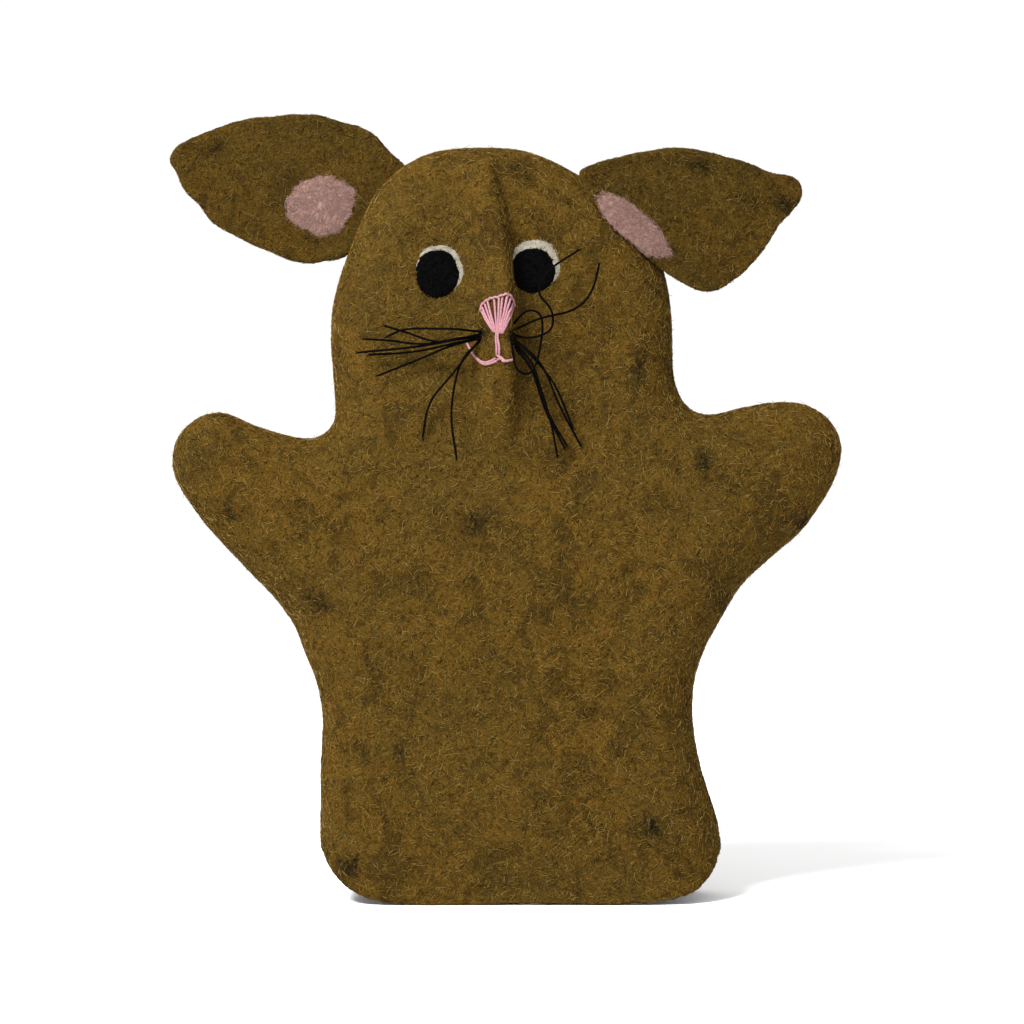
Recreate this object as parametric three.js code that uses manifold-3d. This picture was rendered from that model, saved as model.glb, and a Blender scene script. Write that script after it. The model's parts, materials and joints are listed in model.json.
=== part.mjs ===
// A glove puppet of a mouse in thick felted wool, standing on its open hem.
// Millimetres, +Z up, the face looks along -Y, and the origin is the middle of the hand opening.
// The felt is one skin on the real puppet. Here it is cut at its bending lines:
// a torso, a head and two arms.
import * as THREE from "three";
import { mergeVertices } from "three/addons/utils/BufferGeometryUtils.js";
import Module from "manifold-3d";

const wasm = await Module();
wasm.setup();

// ---- Driving dimensions ----
const WALL = 2.6; // thickness of the felt
const CROWN_Z = 242.8; // top of the head
const HEM_DEPTH = 21; // half the puppet's thickness at the hem
const CROWN_DEPTH = 18; // and at the crown
const ARM_SLIM = 0.12; // share of the depth that the arms lose
const SHOULDER_X = 58; // where the arms start to slim
const RIM = 24; // how far in from the outline the felt reaches its full depth
const GAP = 0.35; // clearance between pieces that touch

const NECK_Z = 137; // height of the head's bending line
const NECK_SIDES = [-60.3, 56.3]; // the head turns between these two planes
const ARM_LINES = {
  left: { top: [-74.4, 152], bottom: [-79.9, 76], outward: -1, tip: -112.2 },
  right: { top: [71.5, 157], bottom: [71, 76], outward: 1, tip: 103.85 },
};
const FOLD_HALF = 6.5; // a shell ends this far on either side of a bending line
const WEB = 1.6; // flange that joins a nested root to its shell
const RECESS = WALL + 0.8; // how much slimmer than the skin a nested root is
const PLANE_GAP = 0.6;

const EAR_THICK = 3;
const EAR_CLEAR = 1.6; // the left ear starts this far outside the head's side, to fold clear of it
const EAR_STAND = 5; // the right ear's outer part stands this far in front of the seam plane
const EAR_SLANT = 0.5; // its inner part slants back from the head's front at this slope
const PATCH_THICK = 0.9;
const DISC_THICK = 1.1;
const THREAD = 0.5; // a whisker's diameter
const FLOSS = 0.9; // the pink embroidery floss
const STITCH_LIFT = 0.5; // clearance of a stitch over the faceted face

// The snout is a pinched fold of the face: steep on its right, sloping on its left.
const SNOUT_X = -7.2;
const SNOUT_LEFT = 14.5;
const SNOUT_RIGHT = 6;
const SNOUT_RISE = [
  [143, 0], [150, 2.6], [160, 6.2], [172, 9.6], [182, 11], [192, 10.6],
  [204, 8.6], [218, 6], [232, 3], [241, 0],
];

// The body's outline in x and z, from the hem's left side round over the head.
// Its sides run on below the hem.
const OUTLINE = [
  [-64.4, -30], [-64.4, 0], [-64.4, 25], [-64.4, 38], [-63.9, 51], [-64, 61], [-66, 70.5], [-69.9, 80.3],
  [-73.5, 89], [-79.5, 97], [-88.4, 106.3], [-97.5, 116], [-105.6, 125.8], [-111.2, 135.5], [-112.2, 142],
  [-110.8, 148.5], [-106.2, 154], [-97.5, 157.2], [-84.5, 152.6], [-72, 149], [-65, 149.4], [-60.8, 153.6],
  [-59.8, 161.5], [-60.6, 177.8], [-60.4, 190.8], [-58.5, 200.5], [-55.3, 210.3], [-51.4, 220],
  [-45.5, 229.6], [-37.8, 236.6], [-28.5, 241], [-13, CROWN_Z], [0, 242.1], [10, 238.9], [19.5, 233.6],
  [29.5, 226.3], [39, 216.8], [45.5, 205.4], [48.4, 193], [49.1, 177.8], [49.8, 168], [52.2, 161.6],
  [56.6, 157.4], [62.4, 156.4], [73.1, 158.6], [86.1, 160.2], [94.6, 158.4], [100, 154.4], [103.5, 148.5],
  [103.8, 142], [101.7, 135.5], [95.9, 125.8], [90.2, 118.7], [80.3, 109.5], [70.5, 99.8], [64.7, 90],
  [59.5, 80.3], [56.6, 70.5], [55.9, 57.5], [57.5, 47.8], [60.8, 34.8], [64, 25], [65.2, 15], [65.2, 0],
  [65.2, -30],
];

// Each ear's upper and lower edge in x and z, and its bending line.
// The left ear joins the head's side seam, the right one the front of the head.
const EARS = {
  left: {
    upper: [
      [-113.9, 239], [-112, 242.8], [-108.9, 246], [-99.8, 249.3], [-90.4, 252.5], [-74.8, 254.5],
      [-63.4, 253.8], [-53.6, 249.9], [-43.9, 242.8], [-37.7, 236.3],
    ],
    lower: [
      [-113.9, 239], [-113.1, 236.9], [-108.9, 231.4], [-102.4, 223.3], [-92.6, 216.1], [-81.3, 210.3],
      [-68.3, 205.7], [-60, 205.6], [-55.5, 208.5], [-50, 219], [-37.7, 236.3],
    ],
    hinge: { pos: [-50.7, 0, 224.5], axis: [18.9, 0, 28.3] },
    patch: { centre: [-64.6, 224.6], long: 11.7, wide: 10.2, tilt: 0 },
  },
  right: {
    upper: [
      [18.9, 233.7], [26, 237.9], [39, 241.2], [51.4, 243.1], [65, 240.2], [78, 236.3], [87.8, 233.7],
      [90.4, 231.3], [91.3, 228.2],
    ],
    lower: [
      [18.9, 233.7], [22.5, 224.9], [29.6, 215.8], [38.5, 208.6], [47, 201.4], [53.5, 197.6], [58.5, 195.8],
      [62.8, 196.3], [66.6, 198.3], [74.3, 205.2], [83.4, 217], [87.8, 222.3], [90.6, 225.6], [91.3, 228.2],
    ],
    hinge: { pos: [29.7, -15.2, 215], axis: [27.3, 0, -28] },
    patch: { centre: [36.9, 218], long: 14.4, wide: 5.2, tilt: -0.7 },
  },
};

const EYES = {
  left: { white: [-25.7, 202.2, 8.2, 8.9], pupil: [-25.8, 201.4, 7.4, 8.2] },
  right: { white: [4.9, 203.8, 8.4, 9], pupil: [4.3, 202.6, 7.5, 7.8] },
};
const SNOUT_FOOT = SNOUT_X + SNOUT_RIGHT + 0.6; // the right eye ends here, against the snout

const NOSE_TOP = { from: [-12.1, 189.8], to: [-2.5, 192.6], bow: 0.8 };
const NOSE_FOOT = [-7, 181.9];
const NOSE_STRANDS = 10;
const PHILTRUM = [[-7.3, 180.7], [-7, 177.5], [-6.9, 174.8]];
const MOUTH = [
  [-17, 179.2], [-15.6, 176.5], [-12.9, 173.4], [-9.6, 172.8], [-6.9, 173.2], [-4.3, 173.1], [-2.8, 173.9],
];

// Each whisker is a free waxed thread: points in x and z from its root in the snout to its cut end.
const WHISKERS = {
  left: [
    [[-11.2, 182.2], [-23.2, 182.8], [-37, 182.8], [-42.2, 180.5]],
    [[-11.7, 181.8], [-25.4, 178.8], [-35.9, 181.9], [-43, 184.1]],
    [[-11.4, 181.4], [-30.7, 178.3], [-41.2, 179.4], [-49.6, 180]],
    [[-11.6, 181], [-25.4, 178.6], [-37.5, 177], [-51.5, 175.8]],
    [[-11.2, 180.6], [-25.6, 177.4], [-35.9, 175.7], [-47.8, 175.1]],
    [[-11.8, 180.4], [-22.5, 177.4], [-31.7, 173.8], [-45.2, 168.4]],
    [[-12.3, 180.5], [-21.2, 169], [-28.7, 159.7], [-31, 148.7]],
    [[-12, 180.1], [-18.3, 173.2], [-21.8, 156.9], [-20.1, 141.9]],
  ],
  right: [
    [[-3.6, 182.1], [5.8, 185.9], [17.9, 189.6], [22.6, 194.8], [25, 203.6]],
    [[-3.4, 181.6], [3.8, 180.1], [10, 182.9], [9.7, 189.3], [5.6, 194.2], [9.3, 201.4], [18.6, 208.1]],
    [[-3.8, 182.7], [2.3, 188.7], [6.4, 187.5], [6.2, 176.6], [3.2, 168.6], [-0.7, 169.2], [-3, 180.1]],
    [[-3, 181.2], [4.1, 173.7], [10.5, 165.9], [16.8, 151.6]],
    [[-2.8, 180.7], [6.3, 172.1], [12.6, 158.5], [19.4, 145.8]],
    [[-3.2, 180.3], [3.6, 172.1], [8.9, 156.4], [14.7, 146.3]],
    [[-3, 179.9], [3.4, 170.6], [7.7, 157.9], [14, 145.6]],
    [[-3.4, 179.5], [4.6, 168.4], [9.4, 154.8], [11.8, 142.9]],
  ],
};
const LANE = 0.85; // whiskers cross at this distance from one another
const WHISKER_LIFT = 0.9;
const WHISKER_RISE = 9.4; // how far the roots stand in front of the cheeks
const WHISKER_FALL = 0.5; // and how steeply the whiskers come down to them

// ---- The felt skin as a height over the x, z plane ----
const outlineCurve = new THREE.CatmullRomCurve3(
  OUTLINE.map(([x, z]) => new THREE.Vector3(x, 0, z)),
  true,
  "centripetal",
);
const rim = outlineCurve.getPoints(260).map((p) => [p.x, p.z]);

const clamp = (v, lo, hi) => Math.min(hi, Math.max(lo, v));
const mix = (a, b, t) => a + (b - a) * t;

// How far a point is inside the outline; negative outside.
function inside(x, z) {
  let nearest = Infinity;
  let within = false;
  for (let i = 0, j = rim.length - 1; i < rim.length; j = i++) {
    const [ax, az] = rim[j];
    const [bx, bz] = rim[i];
    const dx = bx - ax;
    const dz = bz - az;
    const along = clamp(((x - ax) * dx + (z - az) * dz) / (dx * dx + dz * dz || 1), 0, 1);
    nearest = Math.min(nearest, Math.hypot(x - ax - along * dx, z - az - along * dz));
    if (az > z !== bz > z && x < ax + ((z - az) / dz) * dx) within = !within;
  }
  return within ? nearest : -nearest;
}

function fullDepth(x, z) {
  const slim = ARM_SLIM * THREE.MathUtils.smoothstep(Math.abs(x), SHOULDER_X, SHOULDER_X + 25);
  return mix(HEM_DEPTH, CROWN_DEPTH, clamp(z / CROWN_Z, 0, 1)) * (1 - slim);
}

// Half the puppet's thickness, for the skin moved inwards by inset.
function bulge(x, z, inset = 0) {
  const share = clamp((inside(x, z) - inset) / (RIM - inset), 0, 1);
  return (fullDepth(x, z) - inset) * Math.sqrt(1 - (1 - share) ** 2);
}

function snout(x, z) {
  const next = SNOUT_RISE.findIndex(([level]) => level > z);
  if (next < 1) return 0;
  const [z0, h0] = SNOUT_RISE[next - 1];
  const [z1, h1] = SNOUT_RISE[next];
  const height = mix(h0, h1, (z - z0) / (z1 - z0));
  const off = x - SNOUT_X;
  if (off > 0) return height * Math.sqrt(Math.max(0, 1 - (off / SNOUT_RIGHT) ** 2));
  return height * Math.cos((Math.min(1, -off / SNOUT_LEFT) * Math.PI) / 2) ** 2;
}

const faceDepth = (x, z) => bulge(x, z) + snout(x, z);

// ---- Solids ----
const evenly = (from, to, count) => Array.from({ length: count }, (_, i) => mix(from, to, i / (count - 1)));
// Stations that crowd together towards the far end, where a crown or a hand closes.
const closing = (from, to, count) => evenly(0, Math.PI / 2, count).map((a) => mix(from, to, Math.sin(a)));
// Stations that crowd together towards both ends, where a disc or an ear closes.
const rounded = (from, to, count) =>
  evenly(0, Math.PI, count).map((a) => mix(from, to, (1 - Math.cos(a)) / 2));

function solid(geometry) {
  const bare = geometry.index ? geometry.toNonIndexed() : geometry.clone();
  bare.deleteAttribute("normal");
  bare.deleteAttribute("uv");
  const merged = mergeVertices(bare, 1e-3);
  const kept = [];
  for (let i = 0; i < merged.index.count; i += 3) {
    const [a, b, c] = merged.index.array.slice(i, i + 3);
    if (a !== b && b !== c && c !== a) kept.push(a, b, c);
  }
  const mesh = new wasm.Mesh({
    numProp: 3,
    vertProperties: merged.attributes.position.array,
    triVerts: new Uint32Array(kept),
  });
  return new wasm.Manifold(mesh);
}

function geometryOf(manifold) {
  const mesh = manifold.getMesh();
  const geometry = new THREE.BufferGeometry();
  geometry.setAttribute("position", new THREE.BufferAttribute(mesh.vertProperties, 3));
  geometry.setIndex(new THREE.BufferAttribute(mesh.triVerts, 1));
  geometry.computeVertexNormals();
  return geometry;
}

// A solid between a front and a back surface.
// Over each station, the columns lie across that station's range.
// upright stations are heights, the others are distances along x.
function between({ stations, upright, range, columns, front, back }) {
  const place = upright ? (t, v) => [v, t] : (t, v) => [t, v];
  const rows = stations.map((t) => {
    return columns(...range(t)).map((v) => {
      const [x, z] = place(t, v);
      return [
        [x, front(x, z), z],
        [x, back(x, z), z],
      ];
    });
  });
  const corners = [];
  const triangle = (a, b, c) => (upright ? corners.push(...a, ...b, ...c) : corners.push(...a, ...c, ...b));
  const quad = (a, b, c, d) => {
    triangle(a, b, c);
    triangle(a, c, d);
  };
  const last = rows[0].length - 1;
  for (let i = 0; i + 1 < rows.length; i++) {
    const [low, high] = [rows[i], rows[i + 1]];
    for (let j = 0; j < last; j++) {
      quad(low[j][0], low[j + 1][0], high[j + 1][0], high[j][0]);
      quad(low[j + 1][1], low[j][1], high[j][1], high[j + 1][1]);
    }
    quad(low[0][1], low[0][0], high[0][0], high[0][1]);
    quad(low[last][0], low[last][1], high[last][1], high[last][0]);
  }
  const [first, end] = [rows[0], rows[rows.length - 1]];
  for (let j = 0; j < last; j++) {
    quad(first[j][1], first[j + 1][1], first[j + 1][0], first[j][0]);
    quad(end[j][0], end[j + 1][0], end[j + 1][1], end[j][1]);
  }
  const geometry = new THREE.BufferGeometry();
  geometry.setAttribute("position", new THREE.Float32BufferAttribute(corners, 3));
  return solid(geometry);
}

// The place where the skin, moved in by inset, ends on a line that starts inside it.
function edgeFrom(start, step, pointAt, inset) {
  let at = start;
  while (inside(...pointAt(at + step)) > inset) at += step;
  let beyond = at + step;
  for (let i = 0; i < 20; i++) {
    const middle = (at + beyond) / 2;
    if (inside(...pointAt(middle)) > inset) at = middle;
    else beyond = middle;
  }
  return at;
}

const even = (count) => (lo, hi) => evenly(lo, hi, count);

// Columns across a section of the skin, closer together near its two ends where it turns over.
function skinColumns(middle) {
  return (lo, hi) => {
    const fine = [0, 0.006, 0.022, 0.05].map((share) => share * (hi - lo));
    const margin = 0.09 * (hi - lo);
    const inner = middle(lo + margin, hi - margin);
    return [...fine.map((f) => lo + f), ...inner, ...fine.map((f) => hi - f).reverse()];
  };
}

// Columns across the face, with some on the fold of the snout.
function faceColumns(lo, hi) {
  const foot = [SNOUT_X - SNOUT_LEFT, SNOUT_X + SNOUT_RIGHT];
  const fold = [-11, -8, -5, -2.2, 0, 2.2, 3.8, 5, 5.8].map((off) => SNOUT_X + off);
  const all = [...evenly(lo, foot[0], 6), ...fold, ...evenly(foot[1], hi, 8)];
  return all.map((x, i) => clamp(x, lo + i * 1e-2, hi - (all.length - 1 - i) * 1e-2));
}

function cushion({ stations, upright = true, range, inset, columns }) {
  return between({
    stations,
    upright,
    range,
    columns: skinColumns(columns),
    front: (x, z) => -bulge(x, z, inset) - (columns === faceColumns ? snout(x, z) : 0),
    back: (x, z) => bulge(x, z, inset),
  });
}

function box(x0, x1, y0, y1, z0, z1) {
  const geometry = new THREE.BoxGeometry(x1 - x0, y1 - y0, z1 - z0);
  geometry.translate((x0 + x1) / 2, (y0 + y1) / 2, (z0 + z1) / 2);
  return solid(geometry);
}

// A shape drawn in x and z, run through the whole depth of the puppet.
function prism(shape) {
  const depth = 120;
  const geometry = new THREE.ExtrudeGeometry(shape, { depth, bevelEnabled: false, curveSegments: 12 });
  geometry.translate(0, 0, -depth / 2);
  geometry.rotateX(Math.PI / 2);
  return solid(geometry);
}

const polygon = (points) => new THREE.Shape(points.map(([x, z]) => new THREE.Vector2(x, z)));

// ---- Bending lines ----
// A line in the x, z plane, with its direction up the line and its normal out of the torso.
function bendingLine({ top, bottom, outward }) {
  const from = new THREE.Vector2(...bottom);
  const along = new THREE.Vector2(...top).sub(from).normalize();
  const normal = new THREE.Vector2(along.y, -along.x).multiplyScalar(outward);
  return {
    from,
    along,
    at: (s, u) => [from.x + along.x * s + normal.x * u, from.y + along.y * s + normal.y * u],
    xAt: (z, u) => from.x + normal.x * u + ((z - from.y - normal.y * u) * along.x) / along.y,
  };
}

const lines = { left: bendingLine(ARM_LINES.left), right: bendingLine(ARM_LINES.right) };

// A solid of revolution about a bending line, slimmer than the skin, that turns inside the torso.
function spindle(from, to, pointAt, placing, slimmer) {
  const profile = evenly(from, to, 7).map((s) => {
    const [x, z] = pointAt(s);
    return new THREE.Vector2(Math.max(0, bulge(x, z) - RECESS - slimmer), s);
  });
  profile[0].x = 0;
  profile[profile.length - 1].x = 0;
  const geometry = new THREE.LatheGeometry(profile, 20);
  geometry.applyMatrix4(placing);
  return solid(geometry);
}

// ---- The four shells of the skin ----
// Cuts the hem level over its middle and rounds its two corners up.
function hemCutter() {
  const shape = new THREE.Shape();
  shape.moveTo(-90, -60);
  shape.lineTo(-90, 24);
  shape.lineTo(-65.6, 21);
  shape.bezierCurveTo(-64, 10, -56, 0, -30, 0);
  shape.lineTo(30, 0);
  shape.bezierCurveTo(56, 0, 65, 7, 66.4, 20);
  shape.lineTo(90, 24);
  shape.lineTo(90, -60);
  return prism(shape);
}

function torsoCushion({ inset, from, top, spill }) {
  const limit = -FOLD_HALF - PLANE_GAP + spill;
  return cushion({
    stations: [...evenly(from, 70, 6), ...evenly(77, 148, 8), ...evenly(150.5, top, 3)],
    range: (z) => {
      const pointAt = (x) => [x, z];
      return [
        Math.max(edgeFrom(0, -1, pointAt, inset), lines.left.xAt(z, limit)),
        Math.min(edgeFrom(0, 1, pointAt, inset), lines.right.xAt(z, limit)),
      ];
    },
    inset,
    columns: even(9),
  });
}

function torso() {
  const skin = torsoCushion({ inset: 0, from: -9, top: 156.6, spill: 0 });
  // The hollow runs out past the torso's sides and hem, so that they stay open.
  const hollow = torsoCushion({ inset: WALL, from: -10, top: 153, spill: 4 });
  const neckBox = box(...NECK_SIDES, -60, 60, NECK_Z - FOLD_HALF, 200);
  return skin.subtract(hollow).subtract(neckBox).subtract(hemCutter());
}

function headCushion({ inset, from, columns, rows }) {
  return cushion({
    stations: closing(from, CROWN_Z - 0.35 - inset, rows),
    range: (z) => {
      const pointAt = (x) => [x, z];
      return [
        Math.max(edgeFrom(-8, -1, pointAt, inset), NECK_SIDES[0] + PLANE_GAP + inset),
        Math.min(edgeFrom(-8, 1, pointAt, inset), NECK_SIDES[1] - PLANE_GAP - inset),
      ];
    },
    inset,
    columns,
  });
}

function head() {
  const placing = new THREE.Matrix4().makeRotationZ(-Math.PI / 2).setPosition(0, 0, NECK_Z);
  const root = (slimmer) => spindle(-57 + slimmer, 53 - slimmer, (x) => [x, NECK_Z], placing, slimmer);
  const skin = headCushion({ inset: 0, from: NECK_Z + FOLD_HALF, columns: faceColumns, rows: 17 });
  const hollow = headCushion({ inset: WALL, from: NECK_Z + FOLD_HALF + WEB, columns: even(9), rows: 9 });
  const below = box(-90, 90, -60, 60, NECK_Z - 60, NECK_Z - FOLD_HALF);
  return skin.add(root(0)).subtract(hollow).subtract(root(WALL)).subtract(below);
}

function arm(side) {
  const line = lines[side];
  const { outward, tip } = ARM_LINES[side];
  const turn = new THREE.Quaternion().setFromUnitVectors(
    new THREE.Vector3(0, 1, 0),
    new THREE.Vector3(line.along.x, 0, line.along.y),
  );
  const placing = new THREE.Matrix4().compose(
    new THREE.Vector3(line.from.x, 0, line.from.y),
    turn,
    new THREE.Vector3(1, 1, 1),
  );
  const root = (slimmer) => {
    const pointAt = (s) => line.at(s, 0);
    const ends = [-1, 1].map((step) => edgeFrom(55, step, pointAt, RECESS + slimmer));
    return spindle(...ends, pointAt, placing, slimmer);
  };
  const sleeve = (inset, rows) =>
    cushion({
      stations: closing(line.xAt(120, 2), tip - outward * (0.4 + inset), rows),
      upright: false,
      range: (x) => {
        const pointAt = (z) => [x, z];
        const middle = mix(125, 141, clamp((Math.abs(x) - 74) / 30, 0, 1));
        const ends = [edgeFrom(middle, -1, pointAt, inset), edgeFrom(middle, 1, pointAt, inset)];
        return outward > 0 ? ends : ends.reverse();
      },
      inset,
      columns: even(7),
    });
  // Keeps what lies beyond the bending line by u.
  const cutAt = (u) =>
    prism(polygon([line.at(-90, u), line.at(190, u), line.at(190, u - 80), line.at(-90, u - 80)]));
  return sleeve(0, 10)
    .subtract(cutAt(FOLD_HALF + 1))
    .add(root(0))
    .subtract(sleeve(WALL, 8).subtract(cutAt(FOLD_HALF + 1 + WEB)))
    .subtract(root(WALL))
    .subtract(cutAt(-FOLD_HALF));
}

// ---- Ears ----
// The height of an edge line at x.
function levelAt(edge, x) {
  const next = clamp(edge.findIndex(([ex]) => ex >= x), 1, edge.length - 1);
  const [x0, z0] = edge[next - 1];
  const [x1, z1] = edge[next];
  return mix(z0, z1, clamp((x - x0) / (x1 - x0), 0, 1));
}

// The middle of each ear's thickness.
// The left ear lies in the seam plane, the right one leaves the head's front.
const earMiddle = {
  left: () => 0,
  right: (x, z) => {
    const [hingeX, hingeY, hingeZ] = EARS.right.hinge.pos;
    const [axisX, , axisZ] = EARS.right.hinge.axis;
    const outward = ((z - hingeZ) * axisX - (x - hingeX) * axisZ) / Math.hypot(axisX, axisZ);
    return -Math.max(EAR_STAND, -hingeY - EAR_SLANT * outward);
  },
};

function ear(side) {
  const { upper, lower } = EARS[side];
  const middle = earMiddle[side];
  const sheet = between({
    stations: rounded(upper[0][0] + 0.3, upper[upper.length - 1][0] - 0.3, 19),
    upright: false,
    range: (x) => [levelAt(lower, x), levelAt(upper, x)],
    columns: even(9),
    front: (x, z) => middle(x, z) - EAR_THICK / 2,
    back: (x, z) => middle(x, z) + EAR_THICK / 2,
  });
  if (side === "right") return sheet;
  return sheet.subtract(headCushion({ inset: -EAR_CLEAR, from: 190, columns: even(9), rows: 9 }));
}

// A flat thing with an elliptical outline, laid over a surface at the given lift and thickness.
function patch({ centre: [cx, cz], long, wide, tilt = 0, surface, lift, thick, from = -Infinity }) {
  const [sin, cos] = [Math.sin(tilt), Math.cos(tilt)];
  const reach = Math.hypot(long * cos, wide * sin);
  return between({
    stations: rounded(Math.max(cx - 0.99 * reach, from), cx + 0.99 * reach, 11),
    upright: false,
    range: (x) => {
      // The tilted ellipse cut by a line of constant x.
      const dx = x - cx;
      const a = (sin / long) ** 2 + (cos / wide) ** 2;
      const b = dx * sin * cos * (1 / long ** 2 - 1 / wide ** 2);
      const c = dx ** 2 * ((cos / long) ** 2 + (sin / wide) ** 2) - 1;
      const half = Math.sqrt(Math.max(0, b * b - a * c)) / a;
      return [cz - b / a - half, cz - b / a + half];
    },
    columns: even(7),
    front: (x, z) => surface(x, z) - lift - thick,
    back: (x, z) => surface(x, z) - lift,
  });
}

function earPatch(side) {
  const surface = (x, z) => earMiddle[side](x, z) - EAR_THICK / 2;
  return patch({ ...EARS[side].patch, surface, lift: GAP, thick: PATCH_THICK });
}

function eyeDisc([x, z, long, wide], lift, from) {
  const surface = (px, pz) => -faceDepth(px, pz);
  return patch({ centre: [x, z], long, wide, surface, lift, thick: DISC_THICK, from });
}

// ---- Embroidery and whiskers ----
// A point held off the face along the face's own normal.
function onFace(x, z, lift) {
  const step = 0.4;
  const slopeX = (faceDepth(x + step, z) - faceDepth(x - step, z)) / (2 * step);
  const slopeZ = (faceDepth(x, z + step) - faceDepth(x, z - step)) / (2 * step);
  const out = new THREE.Vector3(-slopeX, -1, -slopeZ).normalize();
  return new THREE.Vector3(x, -faceDepth(x, z), z).addScaledVector(out, lift);
}

function tube(points, diameter, steps, sides = 6) {
  const ring = evenly(0, 2 * Math.PI, sides + 1).slice(0, -1);
  const section = new THREE.Shape(
    ring.map((a) => new THREE.Vector2((Math.cos(a) * diameter) / 2, (Math.sin(a) * diameter) / 2)),
  );
  const path = new THREE.CatmullRomCurve3(points, false, "centripetal");
  return new THREE.ExtrudeGeometry(section, { steps, extrudePath: path, bevelEnabled: false });
}

function stitch(line, steps) {
  const flat = new THREE.CatmullRomCurve3(line.map(([x, z]) => new THREE.Vector3(x, 0, z)));
  const lifted = flat.getPoints(steps).map((p) => onFace(p.x, p.z, FLOSS / 2 + STITCH_LIFT));
  return tube(lifted, FLOSS, steps);
}

// The nose: straight stitches that fan out from one point, closed by a row of stitches over their tops.
function nose() {
  const { from, to, bow } = NOSE_TOP;
  const tops = evenly(0, 1, NOSE_STRANDS).map((t) => [
    mix(from[0], to[0], t),
    mix(from[1], to[1], t) + bow * Math.sin(Math.PI * t),
  ]);
  const strands = tops.map(([x, z], i) => {
    const foot = NOSE_FOOT[0] + (i - (NOSE_STRANDS - 1) / 2) * 0.22;
    return solid(stitch([[foot, NOSE_FOOT[1]], [mix(foot, x, 0.5), mix(NOSE_FOOT[1], z, 0.5)], [x, z]], 4));
  });
  return strands.reduce((all, one) => all.add(one), solid(stitch(tops, 14)));
}

// Whiskers come down from the snout to the cheeks.
// Each has its own lane in depth, so that they cross without touching.
function whisker(line, lane) {
  const flat = new THREE.CatmullRomCurve3(line.map(([x, z]) => new THREE.Vector3(x, 0, z)));
  const points = flat.getPoints(line.length * 4);
  const rootX = points[0].x;
  const hung = points.map(({ x, z }) => {
    const above = bulge(x, z) + WHISKER_RISE - WHISKER_FALL * Math.abs(x - rootX);
    return new THREE.Vector3(x, -Math.max(faceDepth(x, z), above) - WHISKER_LIFT - lane * LANE, z);
  });
  return tube(hung, THREAD, points.length, 5);
}

// ---- Assembly ----
const FELT = { color: 0x6e5326, roughness: 0.97, metalness: 0 };
const PINK_FELT = { color: 0xbd9088, roughness: 0.95, metalness: 0 };
const WHITE_FELT = { color: 0xc8c3b4, roughness: 0.95, metalness: 0 };
const BLACK_FELT = { color: 0x0d0b0b, roughness: 0.95, metalness: 0 };
const PINK_FLOSS = { color: 0xe08ca2, roughness: 0.6, metalness: 0 };
const BLACK_THREAD = { color: 0x0f0e0e, roughness: 0.55, metalness: 0 };

const group = new THREE.Group();
function part(name, made, look) {
  const geometry = made.getMesh ? geometryOf(made) : made;
  const mesh = new THREE.Mesh(geometry, new THREE.MeshStandardMaterial(look));
  mesh.name = name;
  group.add(mesh);
}

part("torso_shell", torso(), FELT);
part("head_shell", head(), FELT);
for (const side of ["left", "right"]) {
  part(`${side}_arm_shell`, arm(side), FELT);
  part(`${side}_ear`, ear(side), FELT);
  part(`${side}_ear_patch`, earPatch(side), PINK_FELT);
  const from = side === "right" ? SNOUT_FOOT : undefined;
  part(`${side}_eye_white`, eyeDisc(EYES[side].white, GAP, from), WHITE_FELT);
  part(`${side}_pupil`, eyeDisc(EYES[side].pupil, 2 * GAP + DISC_THICK, from), BLACK_FELT);
  // The first whiskers of each side are the outermost: those of the right side pass in front of the eye.
  WHISKERS[side].forEach((line, i, all) => {
    part(`${side}_whisker_${i + 1}`, whisker(line, all.length - 1 - i), BLACK_THREAD);
  });
}
part("nose_stitches", nose(), PINK_FLOSS);
part("philtrum_stitch", stitch(PHILTRUM, 5), PINK_FLOSS);
part("mouth_stitch", stitch(MOUTH, 16), PINK_FLOSS);

export default group;
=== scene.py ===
"""The looks of a mouse glove puppet in thick felted wool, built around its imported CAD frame.

Shapes are worked out in millimetres in the row frame (+Z up, the face looks along -Y), and turned into
metres when a mesh is made. The felt is one skin, cut along its bending lines into a torso, a head and arms.
"""

import json
import math

import bmesh
import bpy
import numpy as np
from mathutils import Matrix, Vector
from mathutils.bvhtree import BVHTree

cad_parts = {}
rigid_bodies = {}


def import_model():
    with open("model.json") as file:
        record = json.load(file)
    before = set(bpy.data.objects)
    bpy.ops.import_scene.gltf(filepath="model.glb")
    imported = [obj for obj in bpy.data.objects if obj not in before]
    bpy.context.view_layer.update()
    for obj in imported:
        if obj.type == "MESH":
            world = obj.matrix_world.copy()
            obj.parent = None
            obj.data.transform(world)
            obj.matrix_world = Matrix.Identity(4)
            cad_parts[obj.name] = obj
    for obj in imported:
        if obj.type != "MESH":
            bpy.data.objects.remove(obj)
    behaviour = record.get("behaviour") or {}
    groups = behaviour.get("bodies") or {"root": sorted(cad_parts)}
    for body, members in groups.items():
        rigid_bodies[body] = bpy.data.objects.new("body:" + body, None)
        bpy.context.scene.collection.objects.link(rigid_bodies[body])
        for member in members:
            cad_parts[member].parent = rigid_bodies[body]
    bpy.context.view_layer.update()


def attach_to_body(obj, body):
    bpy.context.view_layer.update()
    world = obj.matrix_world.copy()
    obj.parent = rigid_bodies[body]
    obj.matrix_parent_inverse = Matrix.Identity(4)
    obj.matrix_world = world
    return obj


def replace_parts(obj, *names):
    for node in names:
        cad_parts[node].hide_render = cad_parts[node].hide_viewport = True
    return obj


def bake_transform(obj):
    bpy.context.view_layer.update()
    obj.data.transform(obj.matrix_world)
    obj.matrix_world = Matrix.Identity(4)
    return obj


MM = 0.001

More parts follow.
